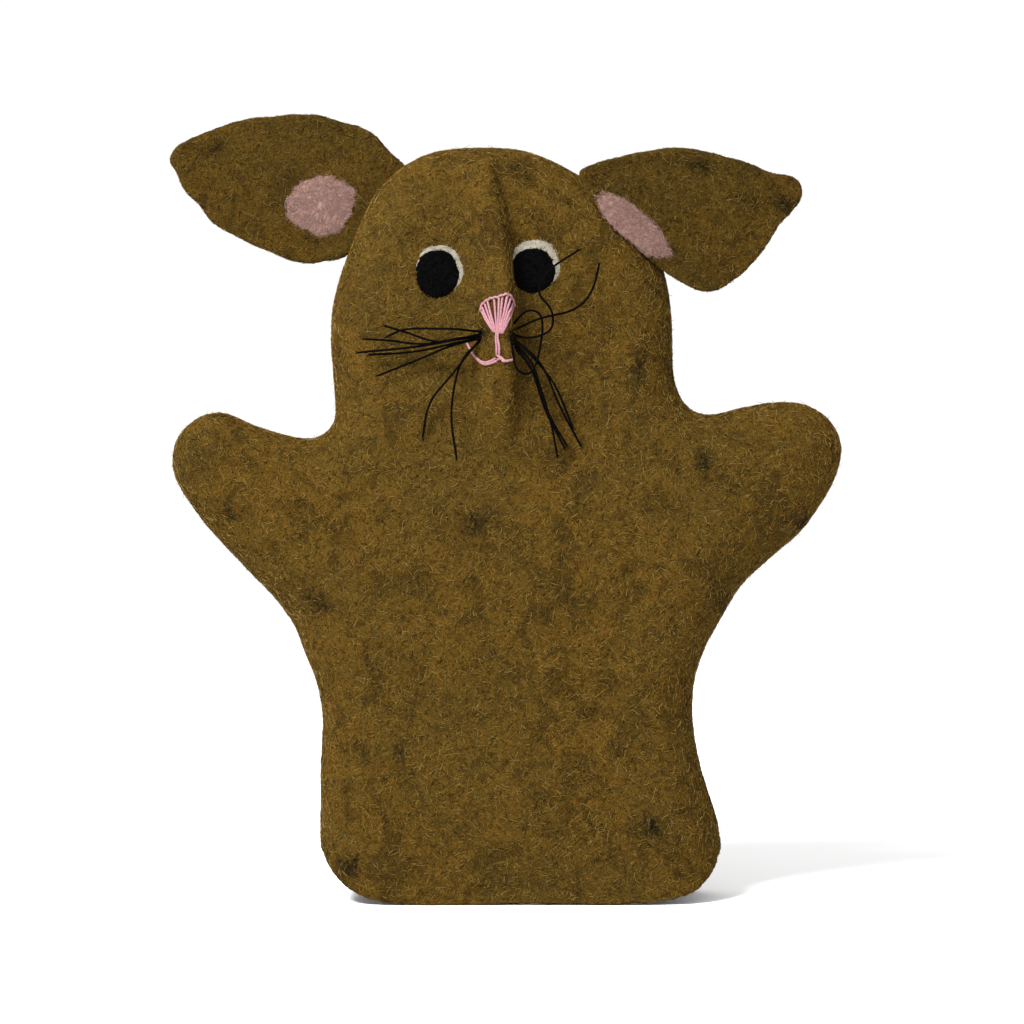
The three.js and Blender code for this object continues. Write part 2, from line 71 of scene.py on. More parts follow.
for leftover in list(bpy.data.objects):
    bpy.data.objects.remove(leftover)
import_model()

# ---- The body ----
CROWN_Z = 242.8
HEM_DEPTH = 20.5  # half the thickness at the hem
CROWN_DEPTH = 17.5  # and at the crown
ARM_SLIM = 0.12  # share of the depth that the arms lose
SHOULDER_X = 58
RIM = 24  # how far in from the outline the felt reaches its full depth
FLATNESS = 2.5  # exponent of the rounding: 2 is an ellipse, more is flatter
FELT_WALL = 2.6
SKIN_CELL = 0.85  # size of the skin's mesh faces
EAR_CELL = 0.6
EAR_CURL = 0.7  # how far an ear's edge turns towards the front
WOOL_DENSITY = 1.5  # loose fibres per square millimetre
FACE_SIDE = 4  # felt with y below this is on the front
ROOT_DEPTH = 0.8  # how deep a whisker's root is in the felt

OUTLINE = [
    [-64.4, -30], [-64.4, 0], [-64.4, 25], [-64.4, 38], [-63.9, 51], [-64, 61], [-66, 70.5], [-69.9, 80.3],
    [-73.5, 89], [-79.5, 97], [-88.4, 106.3], [-97.5, 116], [-105.6, 125.8], [-111.2, 135.5], [-112.2, 142],
    [-110.8, 148.5], [-106.2, 154], [-97.5, 157.2], [-84.5, 152.6], [-72, 149], [-65, 149.4], [-60.8, 153.6],
    [-59.8, 161.5], [-60.6, 177.8], [-60.4, 190.8], [-58.5, 200.5], [-55.3, 210.3], [-51.4, 220],
    [-45.5, 229.6], [-37.8, 236.6], [-28.5, 241], [-13, CROWN_Z], [0, 242.1], [10, 238.9], [19.5, 233.6],
    [29.5, 226.3], [39, 216.8], [45.5, 205.4], [48.4, 193], [49.1, 177.8], [49.8, 168], [52.2, 161.6],
    [56.6, 157.4], [62.4, 156.4], [73.1, 158.6], [86.1, 160.2], [94.6, 158.4], [100, 154.4], [103.5, 148.5],
    [103.8, 142], [101.7, 135.5], [95.9, 125.8], [90.2, 118.7], [80.3, 109.5], [70.5, 99.8], [64.7, 90],
    [59.5, 80.3], [56.6, 70.5], [55.9, 57.5], [57.5, 47.8], [60.8, 34.8], [64, 25], [65.2, 15], [65.2, 0],
    [65.2, -30],
]
# How far the hem is drawn up at each x: level over the middle, rounded at the two corners.
HEM_LINE = [
    [-70, 24], [-65, 17], [-61, 9.5], [-55, 4.2], [-46, 1], [-32, 0], [32, 0], [46, 0.8], [56, 3.6],
    [62, 8.6], [66, 17], [70, 24],
]

# ---- The snout, a pinched fold of the face ----
SNOUT_CREST = [[140, -6], [150, -5.4], [161, -4.2], [172, -4.2], [185, -4.8], [195, -5.2], [208, -6.2],
               [216, -7.2], [226, -9.6], [245, -12.2]]
SNOUT_RISE = [[143, 0], [150, 3], [160, 6.4], [172, 9], [182, 10.2], [192, 10.2], [204, 9.6], [218, 8],
              [232, 5], [242, 1.6]]
SNOUT_LEFT = 15
SNOUT_RIGHT = 3.9
SNOUT_LEAN = 0.12  # the crest falls over to the right by this share of its height

# ---- Bending lines ----
HEAD_BEND = [156.4, 182]  # heights between which the head's bend runs out
HEAD_CUT_SIDES = [-75, 61]
ARMPIT_REACH = 30  # an arm's felt starts at most this far below its bending line's foot
ARM_HINGES = {
    "left_arm": {"top": [-74.4, 152], "bottom": [-79.9, 76], "outward": -1, "bend": [-12, 14]},
    "right_arm": {"top": [71.5, 157], "bottom": [71, 76], "outward": 1, "bend": [-11, 14]},
}

# ---- Ears: their outlines from the top of the base round the tip, and the line they fold about ----
EAR_HALF = 1.55  # half the thickness of an ear
EAR_RIM = 2.6
EARS = {
    "left": {
        "outline": [
            [-36.9, 236], [-42.6, 242.3], [-46.9, 247.3], [-52.3, 250.2], [-59.3, 252], [-64.7, 253.8],
            [-71.2, 254.2], [-79.3, 253.6], [-87.9, 252.9], [-94.4, 251.1], [-103.5, 247.9], [-108.9, 245.4],
            [-112.6, 242.2], [-113.6, 238.8], [-111.6, 235.7], [-110.1, 231.5], [-107.6, 227.8],
            [-104.2, 224.8], [-100.1, 219.3], [-91.1, 214], [-82.5, 210.1], [-74.4, 206.9], [-68.5, 205.8],
            [-63.1, 206.5], [-56.1, 208.3], [-49, 219],
        ],
        "base": [-50.7, 224.5], "along": [18.9, 28.3],
        "patch": {"centre": [-64.6, 224.6], "half": [11.8, 10.2], "turn": 12},
    },
    "right": {
        "outline": [
            [18.9, 233.7], [26, 237.9], [39, 241.2], [51.4, 242.9], [65, 240.2], [74, 237.6], [80.4, 234.8],
            [87.6, 233.5], [90.4, 231.2], [91.1, 228.4], [90.4, 225.7], [87.6, 222], [83.4, 217.3],
            [79.8, 211.4], [72.3, 202.6], [66.7, 198.3], [63, 196.4], [58.5, 195.9], [53.5, 197.8],
            [47, 201.6], [38.5, 208.8], [29.6, 216], [22.6, 225],
        ],
        "base": [29.7, 215], "along": [-27.3, 28],
        "patch": {"centre": [36.1, 216.6], "half": [15.3, 6.1], "turn": -41},
    },
}
EAR_STAND = 5  # the right ear's outer part stands this far in front of the seam
EAR_ROOT = 15.2  # and its base this far
EAR_SLANT = 0.5
EAR_TONE = 0.74  # the ears' felt and loose fibres are coloured this much darker than the body's

# ---- Eyes: centre and half sizes of each spot of felt ----
EYES = {
    "left": {"white": [-25.7, 202.2, 8.1, 8.9], "pupil": [-26.2, 201.3, 7.4, 8.3]},
    "right": {"white": [4.8, 203.8, 8.4, 9], "pupil": [4.3, 202.4, 7.6, 7.8]},
}

# ---- Embroidery in floss: runs of stitches over the felt, as x and z ----
FLOSS = 0.78
NOSE_TOPS = [
    [-12.2, 189.1], [-11.9, 190.3], [-11.1, 191.3], [-10.1, 192], [-8, 192.5], [-6.5, 192.8], [-5.5, 192.9],
    [-4.1, 193.5], [-3.3, 192.8], [-2.7, 191.5], [-2.4, 190.3],
]
NOSE_FOOT = [[-8.1, 181.9], [-5.5, 181.4]]
NOSE_EDGE = [
    [-12.3, 188.6], [-11.7, 190.8], [-9.5, 192.4], [-6.9, 192.9], [-4.1, 193.7], [-2.9, 192.3], [-2.3, 190.1],
]
PHILTRUM = [
    [[-7.2, 182.4], [-7.4, 179.8], [-7.2, 177.1], [-7.2, 174.6]],
    [[-6.7, 182.4], [-6.8, 179.8], [-6.4, 177.3], [-6.4, 174.6]],
]
MOUTH = [
    [[-17.1, 179.7], [-15.6, 176.8], [-13.6, 174], [-11.5, 172.6], [-9.6, 172.7], [-7.4, 173.7]],
    [[-15.3, 176.2], [-13.3, 173.5], [-11.3, 172], [-9.4, 172.1], [-6.9, 173]],
    [[-7.1, 174.6], [-5.8, 173.9], [-4.7, 172.9], [-3.6, 172.9], [-2.4, 173.4]],
    [[-7.1, 173.2], [-5.9, 173.6], [-5.1, 172.6], [-4.3, 173.1]],
]

# ---- Whiskers: waxed black thread, each from its root in the snout to its loose end, as x and z ----
THREAD = 0.7
SMOOTHINGS = 18  # a thread rounds off its turns
WHISKER_LIFT = 0.9  # least height of a whisker over the felt
WHISKER_RISE = 9.4  # its height over the head's rounding at the root
WHISKER_FALL = 0.5  # and how fast it comes down to the cheek
LANE = 0.85  # each whisker passes this far in front of the one before
WHISKERS = {
    "left": [
        [[-11.2, 182.2], [-23.2, 182.8], [-37, 182.8], [-42.2, 180.5]],
        [[-11.7, 181.8], [-25.4, 178.8], [-35.9, 181.9], [-43, 184.1]],
        [[-11.4, 181.4], [-30.7, 178.3], [-41.2, 179.4], [-49.6, 180]],
        [[-11.6, 181], [-25.4, 178.6], [-37.5, 177], [-51.5, 175.8]],
        [[-11.2, 180.6], [-25.6, 177.4], [-35.9, 175.7], [-47.8, 175.1]],
        [[-11.8, 180.4], [-22.5, 177.4], [-31.7, 173.8], [-45.2, 168.4]],
        [[-12.3, 180.5], [-21.2, 169], [-28.7, 159.7], [-31, 148.7]],
        [[-12, 180.1], [-18.3, 173.2], [-21.8, 156.9], [-20.1, 141.9]],
    ],
    "right": [
        [[-3.6, 182.1], [5.8, 185.9], [17.9, 189.6], [22.6, 194.8], [25, 203.6]],
        [[-3.4, 181.6], [3.8, 180.1], [10, 182.9], [9.7, 189.3], [5.6, 194.2], [9.3, 201.4], [18.6, 208.1]],
        [[-3.8, 182.7], [2.3, 188.7], [6.4, 187.5], [6.2, 176.6], [3.2, 168.6], [-0.7, 169.2], [-3, 180.1]],
        [[-3, 181.2], [4.1, 173.7], [10.5, 165.9], [16.8, 151.6]],
        [[-2.8, 180.7], [6.3, 172.1], [12.6, 158.5], [19.4, 145.8]],
        [[-3.2, 180.3], [3.6, 172.1], [8.9, 156.4], [14.7, 146.3]],
        [[-3, 179.9], [3.4, 170.6], [7.7, 157.9], [14, 145.6]],
        [[-3.4, 179.5], [4.6, 168.4], [9.4, 154.8], [11.8, 142.9]],
    ],
}

# ---- Felt ----
# Spots where dark wool was felted in: x, z, half width, half height, slant in degrees and strength.
FLECKS = [
    [38, 171.3, 2.2, 7, -12, 0.9], [57.9, 142, 3.2, 3.2, 0, 1.2], [-14.6, 120.9, 7.5, 4, 40, 0.75],
    [41.6, 24.4, 3.6, 2.8, 0, 1.2], [-53.6, 12.7, 3.6, 3.4, 0, 1.1], [-65, 96.5, 3.5, 5.5, 35, 0.8],
    [-91, 124.2, 4, 3, -30, 0.7], [-102.4, 142, 2.6, 4.5, 15, 0.55], [-99.1, 242.8, 4.5, 2.4, 10, 0.7],
    [57.5, 236.9, 4, 2.4, -8, 0.9], [84.5, 224.9, 4.2, 3, -25, 0.9], [22.8, 62.4, 2.6, 2.2, 0, 0.55],
    [-37.4, 47.8, 2.4, 3.6, 0, 0.7], [-50.4, 49.4, 2.2, 3.8, 20, 0.7], [-1.6, 234.7, 4.4, 2.4, 0, 0.8],
    [-34.1, 213.5, 3.4, 2.4, 0, 0.7], [-19.5, 213.5, 2, 1.8, 0, 0.5], [91, 120.9, 3.4, 4, 30, 0.8],
    [65, 96.5, 3, 4.5, 20, 0.6], [-8.5, 80.5, 1.6, 1.4, 0, 0.6], [39, 210.5, 2.4, 4.5, 25, 0.7],
    [-11.4, 181.5, 2.2, 1.7, 0, 1.2], [-3.2, 180.6, 1.5, 2.1, 0, 1.2], [20, 40, 2.6, 2, 0, 0.35],
    [-48, 66, 3, 3, 0, 0.35], [12, 100, 3, 2.4, 0, 0.3],
]


# ---- Curves, fields and noise ----
def spline(points, per_span=8, closed=False):
    """Points on a centripetal Catmull-Rom curve through the given ones."""
    pts = np.asarray(points, float)
    if closed:
        pts = np.vstack([pts[-1], pts, pts[:2]])
    else:
        pts = np.vstack([2 * pts[0] - pts[1], pts, 2 * pts[-1] - pts[-2]])
    out = []
    for p0, p1, p2, p3 in zip(pts, pts[1:], pts[2:], pts[3:]):
        t0 = 0.0
        t1 = t0 + max(1e-6, np.linalg.norm(p1 - p0)) ** 0.5
        t2 = t1 + max(1e-6, np.linalg.norm(p2 - p1)) ** 0.5
        t3 = t2 + max(1e-6, np.linalg.norm(p3 - p2)) ** 0.5
        t = np.linspace(t1, t2, per_span, endpoint=False)[:, None]
        a1 = (t1 - t) / (t1 - t0) * p0 + (t - t0) / (t1 - t0) * p1
        a2 = (t2 - t) / (t2 - t1) * p1 + (t - t1) / (t2 - t1) * p2
        a3 = (t3 - t) / (t3 - t2) * p2 + (t - t2) / (t3 - t2) * p3
        b1 = (t2 - t) / (t2 - t0) * a1 + (t - t0) / (t2 - t0) * a2
        b2 = (t3 - t) / (t3 - t1) * a2 + (t - t1) / (t3 - t1) * a3
        out.append((t2 - t) / (t2 - t1) * b1 + (t - t1) / (t2 - t1) * b2)
    if not closed:
        out.append(pts[-2][None])
    return np.vstack(out)


def table(rows, at):
    """Linear reading of a table of (position, value)."""
    rows = np.asarray(rows, float)
    return np.interp(at, rows[:, 0], rows[:, 1])


def smoothstep(lo, hi, v):
    t = np.clip((v - lo) / (hi - lo), 0, 1)
    return t * t * (3 - 2 * t)


class Inside:
    """How far inside a closed outline in x and z a point is, negative outside, from a softened grid."""

    def __init__(self, outline, cell=0.8, soft=2):
        self.curve = spline(outline, 8, closed=True)
        self.cell = cell
        self.low = self.curve.min(0) - 8
        size = np.ceil((self.curve.max(0) + 8 - self.low) / cell).astype(int)
        xs, zs = np.meshgrid(*(self.low[k] + cell * np.arange(size[k]) for k in (0, 1)), indexing="ij")
        far = self.distance(xs.ravel(), zs.ravel()).reshape(xs.shape)
        for _ in range(soft):
            for axis in (0, 1):
                count = far.shape[axis]
                before = np.take(far, np.clip(np.arange(count) - 1, 0, None), axis)
                after = np.take(far, np.clip(np.arange(count) + 1, None, count - 1), axis)
                far = (before + 2 * far + after) / 4
        self.grid = far

    def distance(self, x, z):
        nearest = np.full(x.shape, np.inf)
        within = np.zeros(x.shape, bool)
        for (ax, az), (bx, bz) in zip(self.curve, np.roll(self.curve, -1, 0)):
            dx, dz = bx - ax, bz - az
            t = np.clip(((x - ax) * dx + (z - az) * dz) / (dx * dx + dz * dz + 1e-12), 0, 1)
            nearest = np.minimum(nearest, (x - ax - t * dx) ** 2 + (z - az - t * dz) ** 2)
            if az != bz:
                within ^= ((az > z) != (bz > z)) & (x < ax + (z - az) / dz * dx)
        return np.where(within, 1, -1) * np.sqrt(nearest)

    def at(self, x, z):
        u = np.clip((x - self.low[0]) / self.cell, 0, self.grid.shape[0] - 1.001)
        v = np.clip((z - self.low[1]) / self.cell, 0, self.grid.shape[1] - 1.001)
        i, j = u.astype(int), v.astype(int)
        u, v = u - i, v - j
        g = self.grid
        low = g[i, j] * (1 - u) + g[i + 1, j] * u
        high = g[i, j + 1] * (1 - u) + g[i + 1, j + 1] * u
        return low * (1 - v) + high * v

    def slope(self, x, z, step=0.8):
        sx = (self.at(x + step, z) - self.at(x - step, z)) / (2 * step)
        sz = (self.at(x, z + step) - self.at(x, z - step)) / (2 * step)
        length = np.maximum(np.hypot(sx, sz), 1e-6)
        return sx / length, sz / length


class Lumps:
    """Smooth random values over space, between -1 and 1, with the given wavelength in millimetres."""

    SIZE = 32

    def __init__(self, wavelength, seed):
        self.wavelength = wavelength
        self.values = np.random.default_rng(seed).uniform(-1, 1, (self.SIZE,) * 3)

    def at(self, points):
        p = np.asarray(points, float) / self.wavelength + 100
        cell = np.floor(p).astype(int)
        f = p - cell
        f = f * f * (3 - 2 * f)
        total = 0.0
        for dx in (0, 1):
            for dy in (0, 1):
                for dz in (0, 1):
                    i, j, k = ((cell + (dx, dy, dz)) % self.SIZE).T
                    corner = self.values[i, j, k]
                    weight = (
                        (f[:, 0] if dx else 1 - f[:, 0])
                        * (f[:, 1] if dy else 1 - f[:, 1])
                        * (f[:, 2] if dz else 1 - f[:, 2])
                    )
                    total = total + corner * weight
        return total


# ---- Meshes ----
def make_object(name, points_mm, faces, materials=()):
    mesh = bpy.data.meshes.new(name)
    mesh.from_pydata((np.asarray(points_mm) * MM).tolist(), [], [tuple(f) for f in faces])
    for m in materials:
        mesh.materials.append(m)
    obj = bpy.data.objects.new(name, mesh)
    bpy.context.scene.collection.objects.link(obj)
    return obj


def points_of(obj):
    co = np.empty(len(obj.data.vertices) * 3)
    obj.data.vertices.foreach_get("co", co)
    return co.reshape(-1, 3) / MM


def set_points(obj, points_mm):
    obj.data.vertices.foreach_set("co", (np.asarray(points_mm) * MM).ravel())
    obj.data.update()


def normals_of(obj):
    normals = np.empty(len(obj.data.vertices) * 3)
    obj.data.vertex_normals.foreach_get("vector", normals)
    return normals.reshape(-1, 3)


def apply_modifier(obj, kind, **settings):
    modifier = obj.modifiers.new(kind.lower(), kind)
    for key, value in settings.items():
        setattr(modifier, key, value)
    evaluated = obj.evaluated_get(bpy.context.evaluated_depsgraph_get())
    mesh = bpy.data.meshes.new_from_object(evaluated)
    obj.modifiers.clear()
    old = obj.data
    obj.data = mesh
    bpy.data.meshes.remove(old)


def pillow(name, inside, rim, depth, cell):
    """A closed cushion over an outline. depth(x, z) is half its thickness; it rounds over within rim."""
    curve = inside.curve
    tall = depth(*curve.T).max()
    count = len(curve)
    ring = lambda y: np.column_stack([curve[:, 0], np.full(count, y), curve[:, 1]])
    sides = [(i, (i + 1) % count, count + (i + 1) % count, count + i) for i in range(count)]
    lids = [range(count), range(2 * count - 1, count - 1, -1)]
    obj = make_object(name, np.vstack([ring(-tall), ring(tall)]), [*lids, *sides])
    for size in (cell * 1.6, cell):
        apply_modifier(obj, "REMESH", mode="VOXEL", voxel_size=size * MM)
        for _ in range(3):
            p = points_of(obj)
            x, y, z = p.T
            full = depth(x, z)
            a = np.clip(1 - inside.at(x, z) / rim, 0, None)
            b = np.abs(y) / full
            r = np.maximum((a**FLATNESS + b**FLATNESS) ** (1 / FLATNESS), 1e-6)
            sx, sz = inside.slope(x, z)
            move = (a - a / r) * rim
            set_points(obj, np.column_stack([x + sx * move, np.sign(y) * b / r * full, z + sz * move]))
    return obj


def body_depth(x, z):
    slim = ARM_SLIM * smoothstep(SHOULDER_X, SHOULDER_X + 25, np.abs(x))
    return (HEM_DEPTH + (CROWN_DEPTH - HEM_DEPTH) * np.clip(z / CROWN_Z, 0, 1)) * (1 - slim)


def snout_height(x, z):
    height = table(SNOUT_RISE, z)
    off = x - table(SNOUT_CREST, z)
    right = np.cos(np.clip(off / SNOUT_RIGHT, 0, 1) * np.pi / 2) ** 1.2
    left = np.cos(np.clip(-off / SNOUT_LEFT, 0, 1) * np.pi / 2) ** 2
    return height * np.where(off > 0, right, left)


def lumps_at(p):
    """How far the felt bulges at each point."""
    broad = 0.5 * Lumps(30, 1).at(p) + 0.25 * Lumps(11, 2).at(p)
    return broad + 0.12 * Lumps(4, 3).at(p) + 0.07 * Lumps(1.9, 4).at(p)


def roundness(p, inside):
    """1 on the body's outer surface, less inside it."""
    x, y, z = p.T
    a = np.clip(1 - inside.at(x, z) / RIM, 0, None)
    return (a**FLATNESS + (np.abs(y) / body_depth(x, z)) ** FLATNESS) ** (1 / FLATNESS)


def trim_hem(obj):
    """Cuts the skin off along the hem line."""
    p = points_of(obj)
    line = spline(HEM_LINE, 6)
    drawn_up = lambda x: np.interp(x, line[:, 0], line[:, 1])
    p[:, 2] -= drawn_up(p[:, 0])
    set_points(obj, p)
    bm = bmesh.new()
    bm.from_mesh(obj.data)
    everything = bm.verts[:] + bm.edges[:] + bm.faces[:]
    bmesh.ops.bisect_plane(bm, geom=everything, plane_co=(0, 0, 0), plane_no=(0, 0, 1), clear_inner=True)
    bm.to_mesh(obj.data)
    bm.free()
    p = points_of(obj)
    p[:, 2] += drawn_up(p[:, 0])
    set_points(obj, p)


def make_skin(inside):
    """The whole felt skin as one closed shell, hollow and open at the hem."""
    obj = pillow("skin", inside, RIM, body_depth, SKIN_CELL)
    x, y, z = points_of(obj).T
    rise = snout_height(x, z) * smoothstep(0, 6, -y)
    set_points(obj, np.column_stack([x + SNOUT_LEAN * rise, y - rise, z]))
    apply_modifier(obj, "REMESH", mode="VOXEL", voxel_size=SKIN_CELL * MM)
    apply_modifier(obj, "SMOOTH", factor=0.5, iterations=3)
    trim_hem(obj)
    apply_modifier(obj, "SOLIDIFY", thickness=FELT_WALL * MM, offset=-1)
    apply_modifier(obj, "REMESH", mode="VOXEL", voxel_size=SKIN_CELL * MM)
    apply_modifier(obj, "SMOOTH", factor=0.5, iterations=4)
    p = points_of(obj)
    p = p + normals_of(obj) * lumps_at(p)[:, None]
    p[:, 2] -= p[:, 2].min()
    set_points(obj, p)
    return obj


# ---- Cutting the skin along its bending lines ----
def bend_frame(hinge):
    """The foot of an arm's bending line, its direction and its normal out of the torso, in x and z."""
    foot = np.array(hinge["bottom"], float)
    along = np.array(hinge["top"], float) - foot
    along /= np.linalg.norm(along)
    return foot, along, np.array([along[1], -along[0]]) * hinge["outward"]


def ear_frame(side):
    """A point of the line that an ear folds about and the direction out of the head, in x and z."""
    along = np.array(EARS[side]["along"], float)
    along /= np.linalg.norm(along)
    normal = np.array([along[1], -along[0]]) * (-1 if side == "left" else 1)
    return np.array(EARS[side]["base"], float), normal


def beyond(hinge, x, z):
    foot, _, normal = bend_frame(hinge)
    return (x - foot[0]) * normal[0] + (z - foot[1]) * normal[1]


def zone_of(points):
    """The part of the skin that each point belongs to."""
    x, _, z = points.T
    zone = np.full(len(points), "torso", object)
    zone[(z > HEAD_BEND[0]) & (x > HEAD_CUT_SIDES[0]) & (x < HEAD_CUT_SIDES[1])] = "head"
    for name, hinge in ARM_HINGES.items():
        high_enough = z > hinge["bottom"][1] - ARMPIT_REACH
        zone[(beyond(hinge, x, z) > hinge["bend"][0]) & (zone != "head") & high_enough] = name
    return zone


def attach(obj, zone):
    """Parents a torso piece to the torso body; a piece of any other zone only has its placement baked into
    its points.
    """
    if zone == "torso":
        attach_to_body(obj, "torso")
    elif zone == "head":
        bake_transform(obj)
    elif zone in ARM_HINGES:
        hinge = ARM_HINGES[zone]
        foot, _, normal = bend_frame(hinge)
        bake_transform(obj)
    else:
        side = zone.removesuffix("_ear")
        foot, normal = ear_frame(side)
        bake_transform(obj)
    return obj


def faces_of(mesh):
    """The mesh's triangles as an array."""
    mesh.calc_loop_triangles()
    tris = np.empty(len(mesh.loop_triangles) * 3, int)
    mesh.loop_triangles.foreach_get("vertices", tris)
    return tris.reshape(-1, 3)


def quads_of(mesh):
    start = np.empty(len(mesh.polygons), int)
    total = np.empty(len(mesh.polygons), int)
    corner = np.empty(len(mesh.loops), int)
    mesh.polygons.foreach_get("loop_start", start)
    mesh.polygons.foreach_get("loop_total", total)
    mesh.loops.foreach_get("vertex_index", corner)
    return [corner[s:s + t] for s, t in zip(start, total)]


def take_faces(name, faces, points, normals, materials):
    """A new object from some faces of a skin, shaded with the whole skin's normals."""
    used = np.unique(np.concatenate(faces))
    new_index = np.full(len(points), -1)
    new_index[used] = np.arange(len(used))
    obj = make_object(name, points[used], [new_index[f] for f in faces], materials)
    obj.data.shade_smooth()
    obj.data.normals_split_custom_set_from_vertices(normals[used].tolist())
    return obj


def split_skin(skin, materials):
    points, normals = points_of(skin), normals_of(skin)
    faces = quads_of(skin.data)
    centres = np.array([points[f].mean(0) for f in faces])
    zones = zone_of(centres)
    parts = {}
    for zone in ("torso", "head", "left_arm", "right_arm"):
        mine = [f for f, z in zip(faces, zones) if z == zone]
        parts[zone] = take_faces(f"{zone}_felt", mine, points, normals, materials)
    return parts


# ---- Materials ----
class Look:
    """A material's node tree, built by small steps."""

    def __init__(self, name, roughness, specular):
        self.material = bpy.data.materials.new(name)
        self.material.use_nodes = True
        self.tree = self.material.node_tree
        self.shader = self.tree.nodes["Principled BSDF"]
        self.shader.inputs["Roughness"].default_value = roughness
        self.shader.inputs["Specular IOR Level"].default_value = specular

    def node(self, kind, settings=None, **inputs):
        n = self.tree.nodes.new(f"ShaderNode{kind}")
        for key, value in (settings or {}).items():
            setattr(n, key, value)
        for key, value in inputs.items():
            self.set(n, key.replace("_", " "), value)
        return n

    def set(self, n, key, value):
        socket = n.inputs[int(key)] if key.isdigit() else n.inputs[key]
        if isinstance(value, bpy.types.NodeSocket):
            self.tree.links.new(value, socket)
        else:
            socket.default_value = value

    def place(self, scale_per_mm=1.0, shift=(0, 0, 0)):
        """The piece's own coordinates, in units of the given number per millimetre."""
        coords = self.node("TexCoord").outputs["Object"]
        k = scale_per_mm / MM
        mapping = self.node("Mapping", Vector=coords, Scale=(k, k, k), Location=shift)
        return mapping.outputs[0]

    def noise(self, per_mm, detail=2.0, distortion=0.0, roughness=0.5, kind="FBM", shift=(0, 0, 0)):
        n = self.node(
            "TexNoise", {"noise_type": kind}, Vector=self.place(per_mm, shift), Scale=1.0, Detail=detail,
            Roughness=roughness, Distortion=distortion,
        )
        return n.outputs["Fac"]

    def math(self, operation, a, b=0.0, clamp=False):
        n = self.node("Math", {"operation": operation, "use_clamp": clamp})
        self.set(n, "0", a)
        self.set(n, "1", b)
        return n.outputs[0]

    def ramp(self, value, *stops):
        """A colour or grey ramp through (position, colour) stops."""
        n = self.node("ValToRGB", Fac=value)
        elements = n.color_ramp.elements
        while len(elements) < len(stops):
            elements.new(0.5)
        for element, (position, colour) in zip(elements, stops):
            element.position = position
            element.color = (*colour, 1) if hasattr(colour, "__len__") else (colour, colour, colour, 1)
        return n.outputs[0]

    def mix(self, share, a, b):
        n = self.node("Mix", {"data_type": "RGBA"})
        n.inputs[0].default_value = 0.5
        for index, value in ((0, share), (6, a), (7, b)):
            if isinstance(value, bpy.types.NodeSocket):
                self.tree.links.new(value, n.inputs[index])
            else:
                n.inputs[index].default_value = value if index == 0 else (*value, 1)
        return n.outputs[2]

    def bump(self, height, distance_mm, strength=1.0):
        n = self.node("Bump", Height=height, Distance=distance_mm * MM, Strength=strength)
        self.tree.links.new(n.outputs[0], self.shader.inputs["Normal"])

    def colour(self, value):
        self.set(self.shader, "Base Color", value)


FELT = {
    "dark": (0.011, 0.007, 0.002), "mid": (0.061, 0.035, 0.005), "warm": (0.072, 0.037, 0.005),
    "light": (0.17, 0.11, 0.024), "olive": (0.046, 0.03, 0.006), "black": (0.004, 0.004, 0.002),
}
PINK = {
    "dark": (0.12, 0.065, 0.052), "mid": (0.18, 0.11, 0.087), "warm": (0.19, 0.11, 0.089),
    "light": (0.25, 0.17, 0.14), "olive": (0.16, 0.097, 0.078),
}
WHITE = {
    "dark": (0.12, 0.1, 0.072), "mid": (0.22, 0.21, 0.17), "warm": (0.21, 0.19, 0.15),
    "light": (0.33, 0.31, 0.27), "olive": (0.16, 0.15, 0.12),
}
BLACK = {
    "dark": (0.0006, 0.0006, 0.0006), "mid": (0.0015, 0.0013, 0.0013), "warm": (0.0018, 0.0015, 0.0015),
    "light": (0.004, 0.0035, 0.0035), "olive": (0.0012, 0.0012, 0.0012),
}


def darker(tones, share):
    return {name: tuple(part * share for part in tone) for name, tone in tones.items()}


def felt_look(name, tones, depth_mm=0.3, dark_wool=True):
    """Felted wool: tangled fine ridges of several tones over slow drifts of colour."""
    look = Look(name, roughness=0.96, specular=0.02)
    strands = [
        look.ramp(look.noise(scale, 4, bend, 0.62, "RIDGED_MULTIFRACTAL", shift), (low, 0.0), (0.8, 1.0))
        for scale, bend, shift, low in (
            (0.9, 1.6, (0, 0, 0), 0.22), (1.4, 2.2, (31, 7, 13), 0.25), (2.1, 1.8, (3, 17, 23), 0.28),
        )
    ]
    fine = look.noise(1.9, 4, 1.2, 0.65, shift=(5, 1, 9))
    clumps = look.noise(0.3, 3, 0.8, 0.6)
    blotch = look.noise(0.11, 4, 1.0, 0.6, shift=(9, 4, 1))
    drift = look.noise(0.035, 2, 0.3, 0.5, shift=(2, 8, 4))
    ground = look.mix(look.ramp(clumps, (0.4, 0.0), (0.6, 1.0)), tones["mid"], tones["warm"])
    ground = look.mix(look.ramp(blotch, (0.4, 0.6), (0.52, 0.0)), ground, tones["dark"])
    ground = look.mix(look.ramp(drift, (0.42, 0.0), (0.65, 0.45)), ground, tones["olive"])
    ground = look.mix(look.ramp(fine, (0.46, 0.0), (0.6, 0.95)), ground, tones["dark"])
    for share, strand in zip((0.4, 0.35, 0.35), strands):
        ground = look.mix(look.math("MULTIPLY", strand, share), ground, tones["light"])
    if dark_wool:
        spot = look.node("Attribute", {"attribute_name": "fleck"}).outputs["Fac"]
        patches = look.ramp(look.noise(0.9, 4, 1.8, 0.65), (0.33, 0.0), (0.6, 1.3))
        ragged = look.math("MULTIPLY", spot, patches)
        ground = look.mix(look.math("MULTIPLY", ragged, 0.9, clamp=True), ground, tones["black"])
    look.colour(ground)
    height = look.math("MULTIPLY", clumps, 1.2)
    for strand in strands:
        height = look.math("ADD", height, strand)
    look.bump(height, depth_mm, 0.9)
    return look.material


